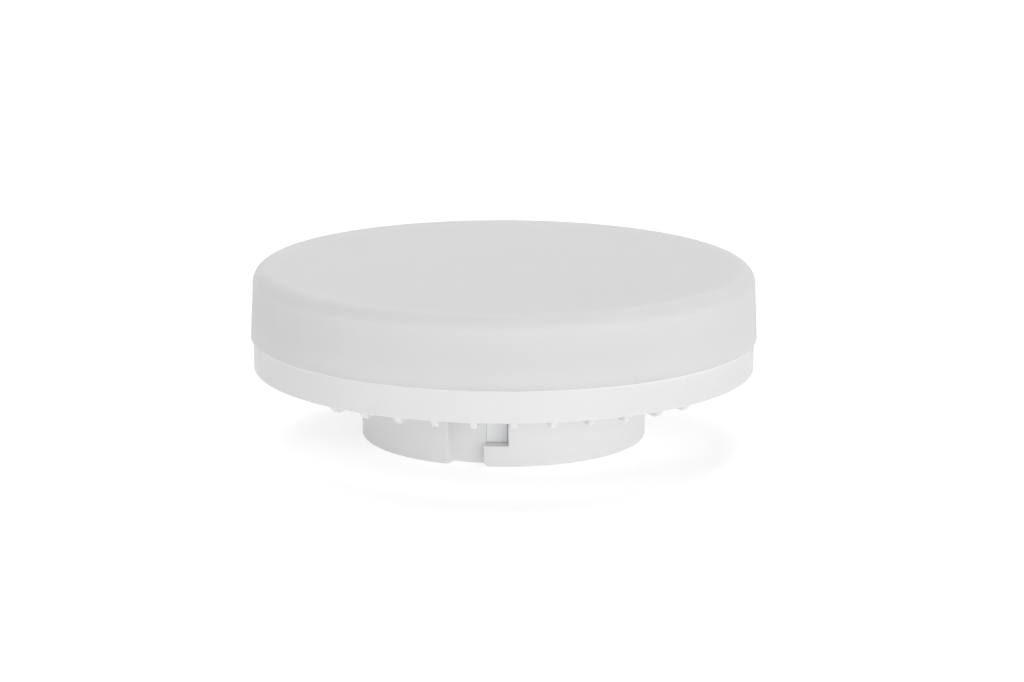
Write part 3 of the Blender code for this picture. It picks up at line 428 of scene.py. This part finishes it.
def housing_section():
    """Section of the housing as (kind, radius, z); the kind says which feature moves the point."""
    hub_corner = arc((HUB_RADIUS - HUB_EDGE, HUB_EDGE), HUB_EDGE, -90, 0)
    root_centre = (HUB_RADIUS + HUB_ROOT, FLANGE_BOTTOM - HUB_ROOT)
    hub_root = arc(root_centre, HUB_ROOT, 180, 90, EDGE_STEPS)
    foot_centre = (RIM_INNER + WALL_DRAFT, RIM_BOTTOM + WALL_DRAFT)
    low_centre = (RIM_RADIUS - RIM_BOTTOM_EDGE, RIM_BOTTOM + RIM_BOTTOM_EDGE)
    top_centre = (RIM_RADIUS - RIM_TOP_EDGE, RIM_TOP - RIM_TOP_EDGE)
    rim_foot = arc(foot_centre, WALL_DRAFT, 180, 270, INNER_EDGE_STEPS)
    rim_low = arc(low_centre, RIM_BOTTOM_EDGE, -90, 0)
    rim_top = arc(top_centre, RIM_TOP_EDGE, 0, 90)
    land_radii = [LAND_INNER + offset for offset in boss_offsets(LAND_ROUNDING)]
    land_radii += spread(land_radii[-1], LAND_OUTER - LAND_ROUNDING - WALL_DRAFT, LAND_POINTS)
    land_radii += [LAND_OUTER - offset for offset in reversed(boss_offsets(LAND_ROUNDING))]
    rib_inner = RIB_OUTER - RIB_WIDTH
    rib_offsets = boss_offsets(WALL_DRAFT)
    rib_radii = [rib_inner + offset for offset in rib_offsets]
    rib_radii += [RIB_OUTER - offset for offset in reversed(rib_offsets)]
    groove_top = RIM_TOP - GROOVE_DROP
    groove_bottom = groove_top - GROOVE_HEIGHT
    window_levels = slot_levels()[EDGE_STEPS + 1:-EDGE_STEPS - 1]

    points = [("plain", 0.0, GATE_DEPTH), ("plain", GATE_FLOOR_RADIUS, GATE_DEPTH)]
    points += [("plain", GATE_RADIUS, 0.0)]
    points += [("plain", r, 0.0) for r in spread(GATE_RADIUS, END_FACE_RING, END_FACE_POINTS)]
    points += [("end", END_FACE_RING, 0.0)]
    points += [("hub", r, z) for r, z in hub_corner]
    points += [("hub", HUB_RADIUS, LUG_LEAD_IN)]
    points += [("hub", HUB_RADIUS, z) for z in spread(LUG_LEAD_IN, LUG_HEIGHT, WALL_POINTS)]
    points += [("hub", HUB_RADIUS, z) for z in slot_levels()]
    points += [("plain", r, z) for r, z in hub_root]
    points += [("land", r, FLANGE_BOTTOM) for r in land_radii]
    points += [("plain", r, FLANGE_BOTTOM) for r in spread(LAND_OUTER, RIM_INNER, FLANGE_POINTS)]
    points += [("plain", RIM_INNER, FLANGE_BOTTOM)]
    points += [("plain", r, z) for r, z in rim_foot + rim_low]
    points += [("plain", RIM_RADIUS, z) for z in spread(low_centre[1], top_centre[1], WALL_POINTS)]
    points += [("plain", r, z) for r, z in rim_top]
    points += [
        ("plain", RIM_INNER, RIM_TOP),
        ("plain", RIM_INNER, groove_top),
        ("plain", RIM_INNER + GROOVE_DEPTH, groove_top - GROOVE_DEPTH / 2),
        ("plain", RIM_INNER + GROOVE_DEPTH, groove_bottom + GROOVE_DEPTH / 2),
        ("plain", RIM_INNER, groove_bottom),
        ("plain", RIM_INNER, FLANGE_TOP),
    ]
    points += [("rib", r, FLANGE_TOP) for r in reversed(rib_radii)]
    points += [("plain", r, FLANGE_TOP) for r in spread(rib_inner, HUB_INNER, WALL_POINTS)]
    points += [("well", HUB_INNER, FLANGE_TOP)]
    points += [("well", HUB_INNER, z) for z in reversed(window_levels)]
    points += [("well", HUB_INNER, HUB_END_THICKNESS)]
    points += [("plain", r, HUB_END_THICKNESS) for r in (SLOT_BACK / 2, 0.0)]
    return points


def housing_point(kind, radius, z, angle):
    """Place of a section point at an angle."""
    local = folded(angle)
    if kind == "end":
        return polar(radius, angle + lead_in_turn(local, z), z)
    if kind == "hub":
        return polar(radius - slot_drop(local, z), angle + lead_in_turn(local, z), z)
    if kind == "land":
        return polar(radius, angle, z - land_rise(local, radius))
    if kind == "rib":
        return polar(radius, angle, z + rib_rise(local, radius))
    if kind == "well":
        return polar(radius - well_step(local), angle, z)
    return polar(radius, angle, z)


def housing_angles():
    """Angles of the section round the lamp: even steps, and closer ones at features' borders."""
    slot = [offset / HUB_RADIUS for offset in edge_offsets(SLOT_ROUNDING)]
    through = [slot[-1] + WALL_DRAFT / HUB_RADIUS]
    borders = [ENTRY_START + offset for offset in slot]
    borders += [WINDOW_START + offset for offset in slot]
    borders += [WINDOW_START - offset for offset in slot]
    borders += [WINDOW_START - WINDOW_DRAFT / HUB_RADIUS]
    borders += [WINDOW_END - offset for offset in slot + through]
    for side in (ENTRY_START - SLOT_SIDE_WALL, WINDOW_END + SLOT_SIDE_WALL):
        inwards = WALL_DRAFT / HUB_RADIUS * (1 if side < ENTRY_START else -1)
        borders += [side, side + inwards]
    land_edge = QUARTER_TURN - LAND_HALF_ANGLE
    for offset in boss_offsets(LAND_ROUNDING):
        borders += [land_edge + offset / PIN_CIRCLE, -land_edge - offset / PIN_CIRCLE]
    for offset in boss_offsets(WALL_DRAFT):
        borders += [RIB_HALF_ANGLE - offset / RIB_OUTER, offset / RIB_OUTER - RIB_HALF_ANGLE]
    step = math.tau / RING_STEPS
    even = [i * step - QUARTER_TURN for i in range(RING_STEPS // 2)]
    clearance = step / BORDER_CLEARANCE
    kept = [angle for angle in even if all(abs(angle - b) > clearance for b in borders)]
    half = sorted(set(kept + borders))
    half = [angle for i, angle in enumerate(half) if i == 0 or angle - half[i - 1] > TOUCH]
    return half + [angle + HALF_TURN for angle in half]


def in_window(angle, z):
    """Whether a point of the hub's wall lies where the wall is cut right through."""
    full = SLOT_DEPTH + SLOT_FLOOR_WALL
    return slot_drop(angle, z) > full - TOUCH


def sweep_housing(mesh_data):
    """Sweep the section round the axis, with the windows left open and joined through the wall."""
    section = housing_section()
    angles = housing_angles()
    poles = {}
    rows = []
    for angle in angles:
        row = []
        for k, (kind, radius, z) in enumerate(section):
            if radius < TOUCH:
                if k not in poles:
                    poles[k] = mesh_data.verts.new((0.0, 0.0, z))
                row.append(poles[k])
            else:
                row.append(mesh_data.verts.new(housing_point(kind, radius, z, angle)))
        rows.append(row)
    for i, angle in enumerate(angles):
        j = (i + 1) % len(angles)
        pair = [folded(angle), folded(angles[j])]
        for k in range(len(section) - 1):
            kind, _, z = section[k]
            if kind in ("hub", "well") and section[k + 1][0] == kind:
                corners = [(a, level) for a in pair for level in (z, section[k + 1][2])]
                if all(in_window(a, level) for a, level in corners):
                    continue
            loop = [rows[i][k], rows[i][k + 1], rows[j][k + 1], rows[j][k]]
            face = [v for n, v in enumerate(loop) if v not in loop[:n]]
            mesh_data.faces.new(face)
    bmesh.ops.remove_doubles(mesh_data, verts=mesh_data.verts, dist=WELD_DISTANCE)


def add_fin(mesh_data, turn):
    """One cooling fin with a chamfered toe and rounded lower edges."""
    heel = HUB_RADIUS + FIN_INNER_MARGIN
    toe = RIM_INNER - FIN_TOE_MARGIN
    low = RIM_BOTTOM - FIN_DROP
    rim_reach = toe + FIN_DROP + FIN_EMBED
    top = FLANGE_BOTTOM + FIN_EMBED
    outline = [(toe, low), (heel, low + FIN_RISE), (heel, top), (rim_reach, top),
               (rim_reach, RIM_BOTTOM + FIN_EMBED)]
    plate = bmesh.new()
    half = FIN_THICKNESS / 2
    sides = [[plate.verts.new((x, -r, z)) for r, z in outline] for x in (-half, half)]
    for side in sides:
        plate.faces.new(side)
    for i in range(len(outline)):
        plate.faces.new((sides[0][i - 1], sides[0][i], sides[1][i], sides[1][i - 1]))
    lower = [plate.edges.get((side[0], side[i])) for side in sides for i in (1, -1)]
    lower += [plate.edges.get((sides[0][i], sides[1][i])) for i in (0, 1)]
    lower += [plate.edges.get((side[1], side[2])) for side in sides]
    bmesh.ops.bevel(plate, geom=lower, offset=FIN_ROUNDING, segments=EDGE_STEPS,
                    profile=ROUND_PROFILE, affect="EDGES")
    bmesh.ops.rotate(plate, verts=plate.verts, cent=(0, 0, 0), matrix=Matrix.Rotation(turn, 3, "Z"))
    join(mesh_data, plate)


def add_post(mesh_data, place):
    """Post with its screw hole."""
    top = FLANGE_TOP + RIB_HEIGHT
    foot = FLANGE_TOP - FIN_EMBED
    profile = [(0.0, foot), (POST_RADIUS, foot), (POST_RADIUS, top), (POST_HOLE_RADIUS, top),
               (POST_HOLE_RADIUS, top - RIB_HEIGHT), (0.0, top - RIB_HEIGHT)]
    lathe(mesh_data, profile, POST_STEPS, place)


def make_housing(material):
    """The white moulding with its rim, flange, lands, fins and the hub with its slots."""
    mesh_data = bmesh.new()
    sweep_housing(mesh_data)
    middle = (FINS_PER_GROUP - 1) / 2
    for facing in (0.0, HALF_TURN):
        for i in range(FINS_PER_GROUP):
            add_fin(mesh_data, facing + (i - middle) * FIN_PITCH)
    for side in (QUARTER_TURN, -QUARTER_TURN):
        for turn in (-POST_ANGLE, POST_ANGLE):
            add_post(mesh_data, polar(POST_CIRCLE, side + turn).xy)
    housing = finish_mesh("housing_moulding", mesh_data, material)
    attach(housing, "root")
    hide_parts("housing")


# Diffuser, pins and cup

def make_diffuser(material):
    """The opal cup with its rounded edge, its draft and the snap skirt inside the rim."""
    wall_top = DISC_RADIUS - DIFFUSER_DRAFT
    outer = (wall_top - DIFFUSER_FILLET, DIFFUSER_TOP - DIFFUSER_FILLET)
    inside_top = DIFFUSER_TOP - DIFFUSER_TOP_THICKNESS
    inside_fillet = DIFFUSER_FILLET - DIFFUSER_WALL
    inner = (outer[0], inside_top - inside_fillet)
    foot_top = DIFFUSER_BOTTOM + DIFFUSER_FOOT
    bead_radius = RIM_INNER + GROOVE_DEPTH - SNAP_GAP
    bead_reach = bead_radius - SKIRT_OUTER
    bead_middle = RIM_TOP - GROOVE_DROP - GROOVE_HEIGHT / 2
    edge = (DISC_RADIUS - DIFFUSER_EDGE, DIFFUSER_BOTTOM + DIFFUSER_EDGE)
    profile = arc(edge, DIFFUSER_EDGE, -90, 0, EDGE_STEPS)
    wall_start, wall_end = profile[-1], (wall_top, outer[1])
    for share in spread(0.0, 1.0, DIFFUSER_WALL_POINTS):
        profile.append([low + (high - low) * share for low, high in zip(wall_start, wall_end)])
    profile += arc(outer, DIFFUSER_FILLET, 0, 90, FILLET_STEPS)
    profile += [(r, DIFFUSER_TOP) for r in spread(outer[0], 0.0, DIFFUSER_TOP_POINTS)]
    profile += [(0.0, DIFFUSER_TOP), (0.0, inside_top)]
    profile += [(r, inside_top) for r in spread(0.0, inner[0], WALL_POINTS)]
    profile += arc(inner, inside_fillet, 90, 0)
    profile += [
        (DISC_RADIUS - DIFFUSER_WALL, foot_top + DIFFUSER_WALL),
        (SKIRT_INNER, foot_top),
        (SKIRT_INNER, SKIRT_BOTTOM),
        (SKIRT_OUTER, SKIRT_BOTTOM),
        (SKIRT_OUTER, bead_middle - bead_reach),
        (bead_radius, bead_middle),
        (SKIRT_OUTER, bead_middle + bead_reach),
        (SKIRT_OUTER, DIFFUSER_BOTTOM),
    ]
    mesh_data = bmesh.new()
    lathe(mesh_data, profile, RING_STEPS)
    diffuser = finish_mesh("opal_cover", mesh_data, material)
    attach(diffuser, "root")
    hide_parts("diffuser")


def make_pins(material):
    """Turned contact pins with mushroom heads."""
    head_bottom = LAND_BOTTOM - PIN_PROJECTION
    head_top = head_bottom + PIN_HEAD_HEIGHT
    shoulder_top = LAND_BOTTOM - SEAM_GAP
    shoulder_bottom = shoulder_top - PIN_SHOULDER_HEIGHT
    collar_bottom = FLANGE_TOP + SEAM_GAP
    collar_top = collar_bottom + PIN_COLLAR_HEIGHT
    head_edge = PIN_HEAD_RADIUS - PIN_HEAD_EDGE
    neck_start = (PIN_NECK_RADIUS + PIN_NECK_FILLET, head_top + PIN_NECK_FILLET)
    shoulder_edge = PIN_SHOULDER_RADIUS - PIN_EDGE
    profile = [(0.0, head_bottom), (head_edge / 2, head_bottom)]
    profile += arc((head_edge, head_bottom + PIN_HEAD_EDGE), PIN_HEAD_EDGE, -90, 0)
    profile += arc((head_edge, head_top - PIN_HEAD_EDGE), PIN_HEAD_EDGE, 0, 90)
    profile += arc(neck_start, PIN_NECK_FILLET, 270, 180, SMALL_EDGE_STEPS)
    profile += [(PIN_NECK_RADIUS, shoulder_bottom)]
    for height, start in ((shoulder_bottom + PIN_EDGE, -90), (shoulder_top - PIN_EDGE, 0)):
        profile += arc((shoulder_edge, height), PIN_EDGE, start, start + 90, SMALL_EDGE_STEPS)
    profile += [
        (PIN_SHANK_RADIUS, shoulder_top),
        (PIN_SHANK_RADIUS, collar_bottom),
        (PIN_COLLAR_RADIUS, collar_bottom),
        (PIN_COLLAR_RADIUS, collar_top),
        (0.0, collar_top),
    ]
    pins = (("pin_live", "contact_pin_live", 1), ("pin_neutral", "contact_pin_neutral", -1))
    for name, node, side in pins:
        mesh_data = bmesh.new()
        lathe(mesh_data, profile, PIN_STEPS, (side * PIN_CIRCLE, 0.0))
        pin = finish_mesh(name, mesh_data, material)
        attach(pin, "root")
        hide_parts(node)


def add_pad(mesh_data, facing, root):
    """Snap pad of the cup, which fills a window flush with the slot's floor."""
    border = SLOT_ROUNDING + 2 * WALL_DRAFT + PAD_GAP
    start = facing + WINDOW_START + PAD_GAP / HUB_RADIUS
    end = facing + WINDOW_END - border / HUB_RADIUS
    low, high = LUG_HEIGHT + border, SLOT_TOP - border
    face = HUB_RADIUS - SLOT_DEPTH
    angles = [start, *spread(start, end, PAD_STEPS - 1), end]
    corners = [(root, low), (face, low), (face, high), (root, high)]
    pad = bmesh.new()
    rows = [[pad.verts.new(polar(radius, angle, z)) for radius, z in corners] for angle in angles]
    for row, following in zip(rows, rows[1:]):
        for k in range(len(corners)):
            pad.faces.new((row[k - 1], row[k], following[k], following[k - 1]))
    pad.faces.new(rows[0])
    pad.faces.new(rows[-1])
    front = [pad.edges.get((row[1], row[2])) for row in (rows[0], rows[-1])]
    for row, following in zip(rows, rows[1:]):
        front += [pad.edges.get((row[k], following[k])) for k in (1, 2)]
    bmesh.ops.bevel(pad, geom=front, offset=PAD_EDGE, segments=SMALL_EDGE_STEPS,
                    profile=ROUND_PROFILE, affect="EDGES")
    join(mesh_data, pad)


def make_cup(material):
    """The insulating cup, whose pads show through the windows of the slots."""
    inner = CUP_RADIUS - CUP_WALL
    outer = SLOT_BACK - CUP_CLEARANCE
    floor = CUP_LOW.z + CUP_WALL
    profile = [(0.0, CUP_LOW.z)]
    for height, start in ((CUP_LOW.z + CUP_EDGE, -90), (CUP_HIGH.z - CUP_EDGE, 0)):
        profile += arc((outer - CUP_EDGE, height), CUP_EDGE, start, start + 90, SMALL_EDGE_STEPS)
    profile += [(inner, CUP_HIGH.z), (inner, floor), (0.0, floor)]
    mesh_data = bmesh.new()
    lathe(mesh_data, profile, CUP_STEPS)
    for i in range(CUP_LEDGES):
        middle = math.tau * (i + 0.5) / CUP_LEDGES
        corners = []
        for angle in (middle - CUP_LEDGE_HALF_ANGLE, middle + CUP_LEDGE_HALF_ANGLE):
            for radius in (inner - CUP_LEDGE_REACH, inner + CUP_EDGE):
                for z in (floor - CUP_EDGE, floor + CUP_LEDGE_HEIGHT):
                    corners.append(mesh_data.verts.new(polar(radius, angle, z)))
        for a, b, c, d in BOX_FACES:
            mesh_data.faces.new((corners[a], corners[b], corners[c], corners[d]))
    for facing in (0.0, HALF_TURN):
        add_pad(mesh_data, facing, outer - CUP_EDGE)
    cup = finish_mesh("insulating_cup", mesh_data, material)
    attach(cup, "root")
    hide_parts("driver_cup")


# Materials

def new_material(name):
    """Material with its node tree, its Principled shader and the lamp's own coordinates."""
    material = bpy.data.materials.new(name)
    material.use_nodes = True
    tree = material.node_tree
    shader = tree.nodes["Principled BSDF"]
    coordinates = tree.nodes.new("ShaderNodeTexCoord")
    return material, tree, shader, coordinates.outputs["Object"]


def add_noise(tree, coordinates, scale, detail, roughness=SOFT_ROUGHNESS):
    """Noise texture whose scale is in cycles a metre."""
    noise = tree.nodes.new("ShaderNodeTexNoise")
    noise.inputs["Scale"].default_value = scale
    noise.inputs["Detail"].default_value = detail
    noise.inputs["Roughness"].default_value = roughness
    tree.links.new(coordinates, noise.inputs["Vector"])
    return noise.outputs["Fac"]


def add_stretch(tree, coordinates, scale):
    """Coordinates scaled along each axis, for grain that runs one way."""
    mapping = tree.nodes.new("ShaderNodeMapping")
    mapping.inputs["Scale"].default_value = scale
    tree.links.new(coordinates, mapping.inputs["Vector"])
    return mapping.outputs["Vector"]


def add_range(tree, value, low, high):
    """A texture's value, mapped from 0..1 to a range."""
    mapped = tree.nodes.new("ShaderNodeMapRange")
    mapped.inputs["To Min"].default_value = low
    mapped.inputs["To Max"].default_value = high
    tree.links.new(value, mapped.inputs["Value"])
    return mapped.outputs["Result"]


def add_tint(tree, value, colour, variation):
    """Colour that varies a little about its mean with a texture's value."""
    ramp = tree.nodes.new("ShaderNodeValToRGB")
    low, high = ramp.color_ramp.elements
    low.position, high.position = TINT_RANGE
    low.color = (*[channel * (1 - variation) for channel in colour], 1.0)
    high.color = (*[min(channel * (1 + variation), 1.0) for channel in colour], 1.0)
    tree.links.new(value, ramp.inputs["Fac"])
    return ramp.outputs["Color"]


def add_bump(tree, shader, heights):
    """Chain of bumps, each given as (texture value, height in metres)."""
    normal = None
    for value, height in heights:
        bump = tree.nodes.new("ShaderNodeBump")
        bump.inputs["Distance"].default_value = height
        tree.links.new(value, bump.inputs["Height"])
        if normal is not None:
            tree.links.new(normal, bump.inputs["Normal"])
        normal = bump.outputs["Normal"]
    tree.links.new(normal, shader.inputs["Normal"])


def add_finish(tree, shader, colour, finish, clouds, waves, grain):
    """Colour and gloss that vary slightly, over a two-scale bump."""
    tree.links.new(add_tint(tree, clouds, colour, finish["variation"]), shader.inputs["Base Color"])
    low, high = finish["roughness"]
    tree.links.new(add_range(tree, waves, low, high), shader.inputs["Roughness"])
    add_bump(tree, shader, [(waves, finish["waviness"]), (grain, finish["grain"])])
    shader.inputs["Metallic"].default_value = finish.get("metallic", 0.0)


def moulded(name, colour, finish):
    """Moulded plastic: the tool's fine grain, faint flow clouds and an uneven gloss."""
    material, tree, shader, coordinates = new_material(name)
    clouds = add_noise(tree, coordinates, CLOUD_SCALE, CLOUD_DETAIL)
    waves = add_noise(tree, coordinates, WAVE_SCALE, WAVE_DETAIL)
    grain = add_noise(tree, coordinates, GRAIN_SCALE, GRAIN_DETAIL, GRAIN_ROUGHNESS)
    add_finish(tree, shader, colour, finish, clouds, waves, grain)
    shader.inputs["Specular IOR Level"].default_value = finish.get("specular", 0.5)
    shader.inputs["Subsurface Weight"].default_value = finish.get("subsurface", 0.0)
    shader.inputs["Subsurface Radius"].default_value = (1.0, 1.0, 1.0)
    shader.inputs["Subsurface Scale"].default_value = SUBSURFACE_DEPTH
    return material


def worked_metal(name, colour, finish):
    """Rolled, turned or plated metal, whose grain runs round or along the piece."""
    material, tree, shader, coordinates = new_material(name)
    drawn = add_stretch(tree, coordinates, finish["stretch"])
    clouds = add_noise(tree, coordinates, CLOUD_SCALE, CLOUD_DETAIL)
    waves = add_noise(tree, coordinates, WAVE_SCALE, WAVE_DETAIL)
    grain = add_noise(tree, drawn, GRAIN_SCALE, GRAIN_DETAIL, DRAWN_ROUGHNESS)
    add_finish(tree, shader, colour, finish, clouds, waves, grain)
    return material


def wound_wire(name, colour, finish):
    """Enamelled wire in level turns."""
    material, tree, shader, coordinates = new_material(name)
    turns = tree.nodes.new("ShaderNodeTexWave")
    turns.wave_type = "BANDS"
    turns.bands_direction = "Z"
    turns.inputs["Scale"].default_value = WIRE_SCALE
    tree.links.new(coordinates, turns.inputs["Vector"])
    waves = add_noise(tree, coordinates, WAVE_SCALE, WAVE_DETAIL)
    add_finish(tree, shader, colour, finish, turns.outputs["Fac"], waves, turns.outputs["Fac"])
    return material


# Each slot's kind of surface and finish: bump heights in metres, roughness as (low, high)
PLASTIC = {"roughness": (0.42, 0.5), "waviness": 0.000012, "grain": 0.000002, "variation": 0.01}
GLOSSY = {"roughness": (0.22, 0.32), "waviness": 0.00001, "grain": 0.000001, "variation": 0.03}
METAL = {"roughness": (0.25, 0.38), "waviness": 0.000003, "grain": 0.000002, "variation": 0.03,
         "metallic": 1.0}
FINISHES = {
    "white_housing": (moulded, {**PLASTIC, "roughness": (0.44, 0.54)}),
    "opal_diffuser": (moulded, {**PLASTIC, "roughness": (0.56, 0.66), "subsurface": 0.55,
                                "specular": 0.06}),
    "insulating_liner": (moulded, {**PLASTIC, "roughness": (0.36, 0.46)}),
    "contact_plating": (worked_metal, {**METAL, "roughness": (0.2, 0.32),
                                       "stretch": (0.2, 0.2, 1.6)}),
    "pressed_aluminium": (worked_metal, {**METAL, "roughness": (0.32, 0.48),
                                         "stretch": (0.1, 1.4, 1.0)}),
    "white_board_mask": (moulded, {**PLASTIC, "roughness": (0.34, 0.44)}),
    "led_phosphor": (moulded, {**GLOSSY, "grain": 0.000003, "variation": 0.08}),
    "screw_steel": (worked_metal, {**METAL, "stretch": (0.5, 0.5, 2.0)}),
    "green_board": (moulded, {**GLOSSY, "variation": 0.12}),
    "component_black": (moulded, {**PLASTIC, "roughness": (0.5, 0.62), "grain": 0.000004,
                                  "variation": 0.2}),
    "capacitor_sleeve": (moulded, {**GLOSSY, "variation": 0.1}),
    "ferrite": (moulded, {**PLASTIC, "roughness": (0.6, 0.75), "grain": 0.000006,
                          "variation": 0.2}),
    "winding_copper": (wound_wire, {**GLOSSY, "grain": 0.00008, "variation": 0.25,
                                    "metallic": 1.0}),
    "film_box": (moulded, {**GLOSSY, "variation": 0.06}),
    "resistor_lacquer": (moulded, {**GLOSSY, "variation": 0.1}),
    "varistor_coating": (moulded, {**GLOSSY, "waviness": 0.00003, "variation": 0.1}),
    "live_insulation": (moulded, {**PLASTIC, "variation": 0.08}),
    "neutral_insulation": (moulded, {**PLASTIC, "variation": 0.15}),
}


def make_materials():
    """One material for each of the record's slots; the two big mouldings have their own tones."""
    colours = {row["slot"]: row["base_color"] for row in frame["record"]["materials"]}
    colours["white_housing"] = HOUSING_COLOUR
    colours["opal_diffuser"] = DIFFUSER_COLOUR
    colours["insulating_liner"] = LINER_COLOUR
    materials = {}
    for slot, (make, finish) in FINISHES.items():
        materials[slot] = make(slot + "_finish", colours[slot], finish)
    return materials


def finish_inner_nodes(materials):
    """Give the pieces that stay as they are in the frame their finishes."""
    slots = {row["node"]: row["material_slot"] for row in frame["record"]["subparts"]}
    for node, obj in frame["nodes"].items():
        if node in REPLACED:
            continue
        obj.data.materials.clear()
        obj.data.materials.append(materials[slots[node]])


# Studio

def link(obj):
    """Add an object to the scene."""
    bpy.context.scene.collection.objects.link(obj)
    return obj


def camera_axes():
    """The camera's right and forward directions before its small corrections."""
    sideways = Vector((math.cos(CAMERA_AZIMUTH), math.sin(CAMERA_AZIMUTH), 0.0))
    level = Vector((-math.sin(CAMERA_AZIMUTH), math.cos(CAMERA_AZIMUTH), 0.0))
    forward = level * math.cos(CAMERA_ELEVATION) - Vector((0.0, 0.0, math.sin(CAMERA_ELEVATION)))
    return sideways, forward


def make_camera():
    """Camera at the photograph's distance and viewing angle."""
    data = bpy.data.cameras.new("camera")
    data.lens = CAMERA_LENS
    data.sensor_width = SENSOR_WIDTH
    camera = link(bpy.data.objects.new("camera", data))
    sideways, forward = camera_axes()
    camera.location = CAMERA_PIVOT - CAMERA_DISTANCE * forward
    basis = Matrix((sideways, sideways.cross(forward), -forward)).transposed()
    turn = (Matrix.Rotation(-CAMERA_YAW, 3, "Y") @ Matrix.Rotation(CAMERA_PITCH, 3, "X")
            @ Matrix.Rotation(CAMERA_ROLL, 3, "Z"))
    camera.rotation_euler = (basis @ turn).to_euler()
    bpy.context.scene.camera = camera


def make_light(name, turn, rise, distance, size, light_level):
    """Square soft box, placed by its turn to the camera's right and its rise above the floor."""
    data = bpy.data.lights.new(name, "AREA")
    data.shape = "SQUARE"
    data.size = size
    data.energy = light_level * (math.pi * distance) ** 2
    light = link(bpy.data.objects.new(name, data))
    light.visible_camera = False
    towards = polar(math.cos(rise), CAMERA_AZIMUTH + turn, math.sin(rise))
    light.location = LIGHT_AIM + distance * towards
    light.rotation_euler = towards.to_track_quat("Z", "Y").to_euler()


def seen_directly(tree):
    """1 for camera, glossy and transmission rays, 0 for the rays that light the object."""
    path = tree.nodes.new("ShaderNodeLightPath")
    total = path.outputs["Is Camera Ray"]
    for name in ("Is Glossy Ray", "Is Transmission Ray"):
        either = tree.nodes.new("ShaderNodeMath")
        either.operation = "MAXIMUM"
        tree.links.new(total, either.inputs[0])
        tree.links.new(path.outputs[name], either.inputs[1])
        total = either.outputs[0]
    return total


def make_floor():
    """Plain pale floor that looks white, keeps the lamp's shadow and doesn't hide it from below.

    It reaches further to one side, so that the edge between its triangles misses the lamp.
    """
    half = FLOOR_SIZE / 2
    corners = [(-half, -half, 0.0), (FLOOR_SIZE, -half, 0.0),
               (FLOOR_SIZE, half, 0.0), (-half, half, 0.0)]
    mesh = bpy.data.meshes.new("floor")
    mesh.from_pydata(corners, [], [(0, 1, 2, 3)])
    material, tree, shader, coordinates = new_material("floor_paper")
    fibres = add_noise(tree, coordinates, FLOOR_GRAIN, CLOUD_DETAIL)
    paper = add_tint(tree, fibres, FLOOR_COLOUR, FLOOR_VARIATION)
    tree.links.new(paper, shader.inputs["Base Color"])
    shader.inputs["Roughness"].default_value = 1.0
    shader.inputs["Specular IOR Level"].default_value = 0.0
    shader.inputs["Emission Color"].default_value = (1.0, 1.0, 1.0, 1.0)
    distance = tree.nodes.new("ShaderNodeVectorMath")
    distance.operation = "LENGTH"
    tree.links.new(coordinates, distance.inputs[0])
    whiteness = add_range(tree, distance.outputs["Value"], FLOOR_GLOW, FLOOR_FAR_GLOW)
    whiteness.node.inputs["From Min"].default_value = FLOOR_NEAR
    whiteness.node.inputs["From Max"].default_value = FLOOR_FAR
    glow = add_range(tree, seen_directly(tree), FLOOR_LIGHT, FLOOR_GLOW)
    tree.links.new(whiteness, glow.node.inputs["To Max"])
    tree.links.new(glow, shader.inputs["Emission Strength"])
    geometry = tree.nodes.new("ShaderNodeNewGeometry")
    clear = tree.nodes.new("ShaderNodeBsdfTransparent")
    sides = tree.nodes.new("ShaderNodeMixShader")
    tree.links.new(geometry.outputs["Backfacing"], sides.inputs["Fac"])
    tree.links.new(shader.outputs["BSDF"], sides.inputs[1])
    tree.links.new(clear.outputs["BSDF"], sides.inputs[2])
    tree.links.new(sides.outputs["Shader"], tree.nodes["Material Output"].inputs["Surface"])
    mesh.materials.append(material)
    floor = link(bpy.data.objects.new("floor", mesh))
    floor.location.z = FLOOR_LEVEL


def make_world():
    """White backdrop where it is seen, and an even light from all round elsewhere."""
    world = bpy.data.worlds.new("studio")
    bpy.context.scene.world = world
    world.use_nodes = True
    tree = world.node_tree
    background = tree.nodes["Background"]
    background.inputs["Color"].default_value = (1.0, 1.0, 1.0, 1.0)
    strength = add_range(tree, seen_directly(tree), AMBIENT, 1.0)
    tree.links.new(strength, background.inputs["Strength"])


def make_studio():
    """Camera, floor, backdrop and soft boxes."""
    bpy.context.scene.view_settings.view_transform = "Standard"
    make_camera()
    make_floor()
    make_world()
    for name, turn, rise, distance, size, light_level in LIGHTS:
        make_light(name, turn, rise, distance, size, light_level)


make_studio()
finishes = make_materials()
make_housing(finishes["white_housing"])
make_diffuser(finishes["opal_diffuser"])
make_pins(finishes["contact_plating"])
make_cup(finishes["insulating_liner"])
finish_inner_nodes(finishes)
